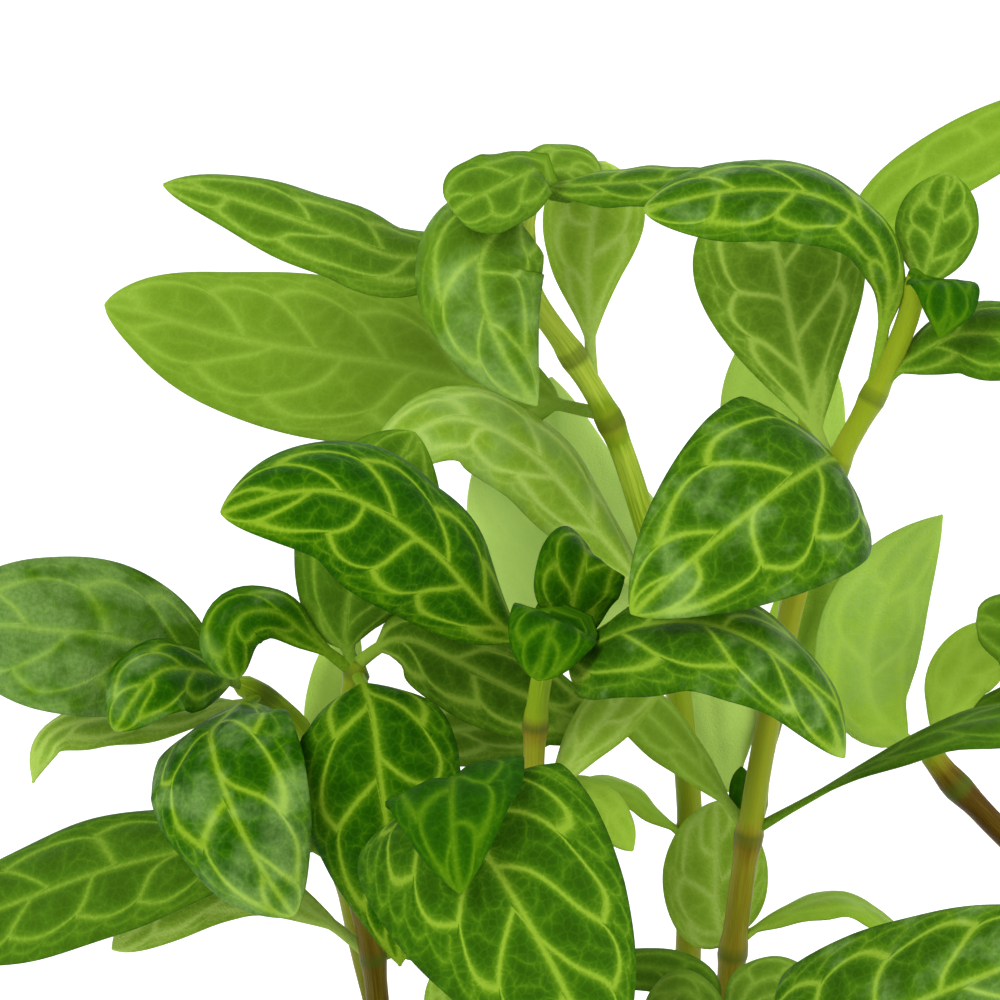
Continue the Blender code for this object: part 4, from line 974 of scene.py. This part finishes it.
def wool_fibres(material):
    """Loose fibres on the wool's face, which lie in low arches between the stems."""
    rng = random.Random(SEED)
    roots = [stem["root"] for stem in STEMS.values()]
    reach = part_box("wool_plug")[1].x / MM - FIBRE_EDGE
    points, faces = [], []
    for _ in range(FIBRES):
        turn, far = rng.uniform(0, 2 * math.pi), reach * math.sqrt(rng.random())
        x, y = far * math.cos(turn), far * math.sin(turn)
        heading = rng.uniform(0, 2 * math.pi)
        length, high = rng.uniform(*FIBRE_LENGTH), rng.uniform(*FIBRE_HEIGHT)
        bend = rng.uniform(-FIBRE_BEND, FIBRE_BEND)
        line = []
        for k in range(FIBRE_STEPS + 1):
            share = k / FIBRE_STEPS
            angle = heading + bend * share
            x += length / FIBRE_STEPS * math.cos(angle)
            y += length / FIBRE_STEPS * math.sin(angle)
            line.append((x, y, WOOL_TOP - FIBRE_SINK + high * math.sin(math.pi * share)))
        outside = any(math.hypot(*p[:2]) > reach + 1 for p in line)
        if outside or any(math.dist(p[:2], root) < FIBRE_CLEARANCE for p in line for root in roots):
            continue
        radius = rng.uniform(*FIBRE_RADIUS)
        for i, p in enumerate(line):
            start = len(points)
            for j in range(3):
                angle = 2 * math.pi * j / 3
                across = np.array((-math.sin(heading), math.cos(heading), 0)) * math.cos(angle)
                points.append(np.array(p) + radius * (across + np.array((0, 0, math.sin(angle)))))
            if i:
                last = start - 3
                faces += [(last + j, last + (j + 1) % 3, start + (j + 1) % 3, start + j) for j in range(3)]
        faces += [(start, start + 1, start + 2), (start - 16, start - 17, start - 18)]
    mesh = bpy.data.meshes.new("wool_fibres")
    mesh.from_pydata([tuple(p * MM) for p in points], [], faces)
    mesh.polygons.foreach_set("use_smooth", [True] * len(faces))
    mesh.materials.append(material)
    obj = bpy.data.objects.new("wool_fibres", mesh)
    bpy.context.scene.collection.objects.link(obj)
    return obj


def dress_leafy_stems():
    leaves = seen_leaves()
    leaves.update(grown_leaves(leaves))
    materials = [leaf_material(), stem_material()]
    for name in STEMS:
        parts = [stem_mesh(name)]
        parts += [leaf_mesh(key, blade) for key, blade in leaves.items() if blade["stem"] == name]
        piece = shape_piece(f"leafy_stem_{name}", parts, materials)
        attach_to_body(piece, "root")
        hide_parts(f"stem_{name}")


def dress_pot():
    wool = wool_material()
    fibres = wool_fibres(wool)
    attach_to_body(fibres, "root")
    finishes = (("wool_plug", wool, "mineral_wool"), ("pot", plastic_material(), "pot_plastic"))
    for node, material, slot in finishes:
        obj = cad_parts[node]
        obj.data.materials.clear()
        obj.data.materials.append(material)
        weld = obj.modifiers.new("weld", "WELD")
        weld.merge_threshold = WELD_DISTANCE
    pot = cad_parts["pot"]
    bevel = pot.modifiers.new("bevel", "BEVEL")
    bevel.width = BEVEL_WIDTH
    bevel.segments = 2
    bevel.angle_limit = BEVEL_ANGLE
    for node in ("wool_plug", "pot"):
        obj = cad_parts[node]
        obj.data.polygons.foreach_set("use_smooth", [True] * len(obj.data.polygons))


def light(name, place, size, power):
    data = bpy.data.lights.new(name, "AREA")
    data.shape = "DISK"
    data.size = size
    data.energy = power
    obj = bpy.data.objects.new(name, data)
    obj.location = place
    obj.rotation_euler = (Vector(LIT_POINT) - Vector(place)).to_track_quat("-Z", "Y").to_euler()
    bpy.context.scene.collection.objects.link(obj)


def make_studio():
    floor_mesh = bpy.data.meshes.new("floor")
    corners = [(x * FLOOR_REACH, y * FLOOR_REACH, 0) for x, y in ((-1, -1), (1, -1), (1, 1), (-1, 1))]
    floor_mesh.from_pydata(corners, [], [(0, 1, 2, 3)])
    floor = bpy.data.objects.new("floor", floor_mesh)
    bpy.context.scene.collection.objects.link(floor)
    s = Shader("white_floor")
    s.set(Base_Color=linear(246, 246, 246), Roughness=0.9, Specular_IOR_Level=0.0)
    s.set(Emission_Color=linear(255, 255, 255), Emission_Strength=FLOOR_GLOW)
    floor_mesh.materials.append(s.material)

    world = bpy.data.worlds.new("studio")
    bpy.context.scene.world = world
    world.use_nodes = True
    background = world.node_tree.nodes["Background"]
    background.inputs["Color"].default_value = (1, 1, 1, 1)
    background.inputs["Strength"].default_value = SKY_STRENGTH
    for lamp in LIGHTS:
        light(*lamp)
    bpy.context.scene.view_settings.view_transform = "Standard"


def make_camera():
    data = bpy.data.cameras.new("camera")
    data.sensor_width = SENSOR_WIDTH
    data.lens = data.sensor_width * VIEW_DISTANCE / (2 * VIEW_HALF_HEIGHT)
    data.clip_start = 0.01
    camera = bpy.data.objects.new("camera", data)
    camera.location = Vector((VIEW_CENTRE - VIEW_FORWARD * VIEW_DISTANCE) * MM)
    camera.rotation_euler = Vector(VIEW_FORWARD).to_track_quat("-Z", "Y").to_euler()
    bpy.context.scene.collection.objects.link(camera)
    bpy.context.scene.camera = camera


make_camera()
make_studio()
dress_leafy_stems()
dress_pot()
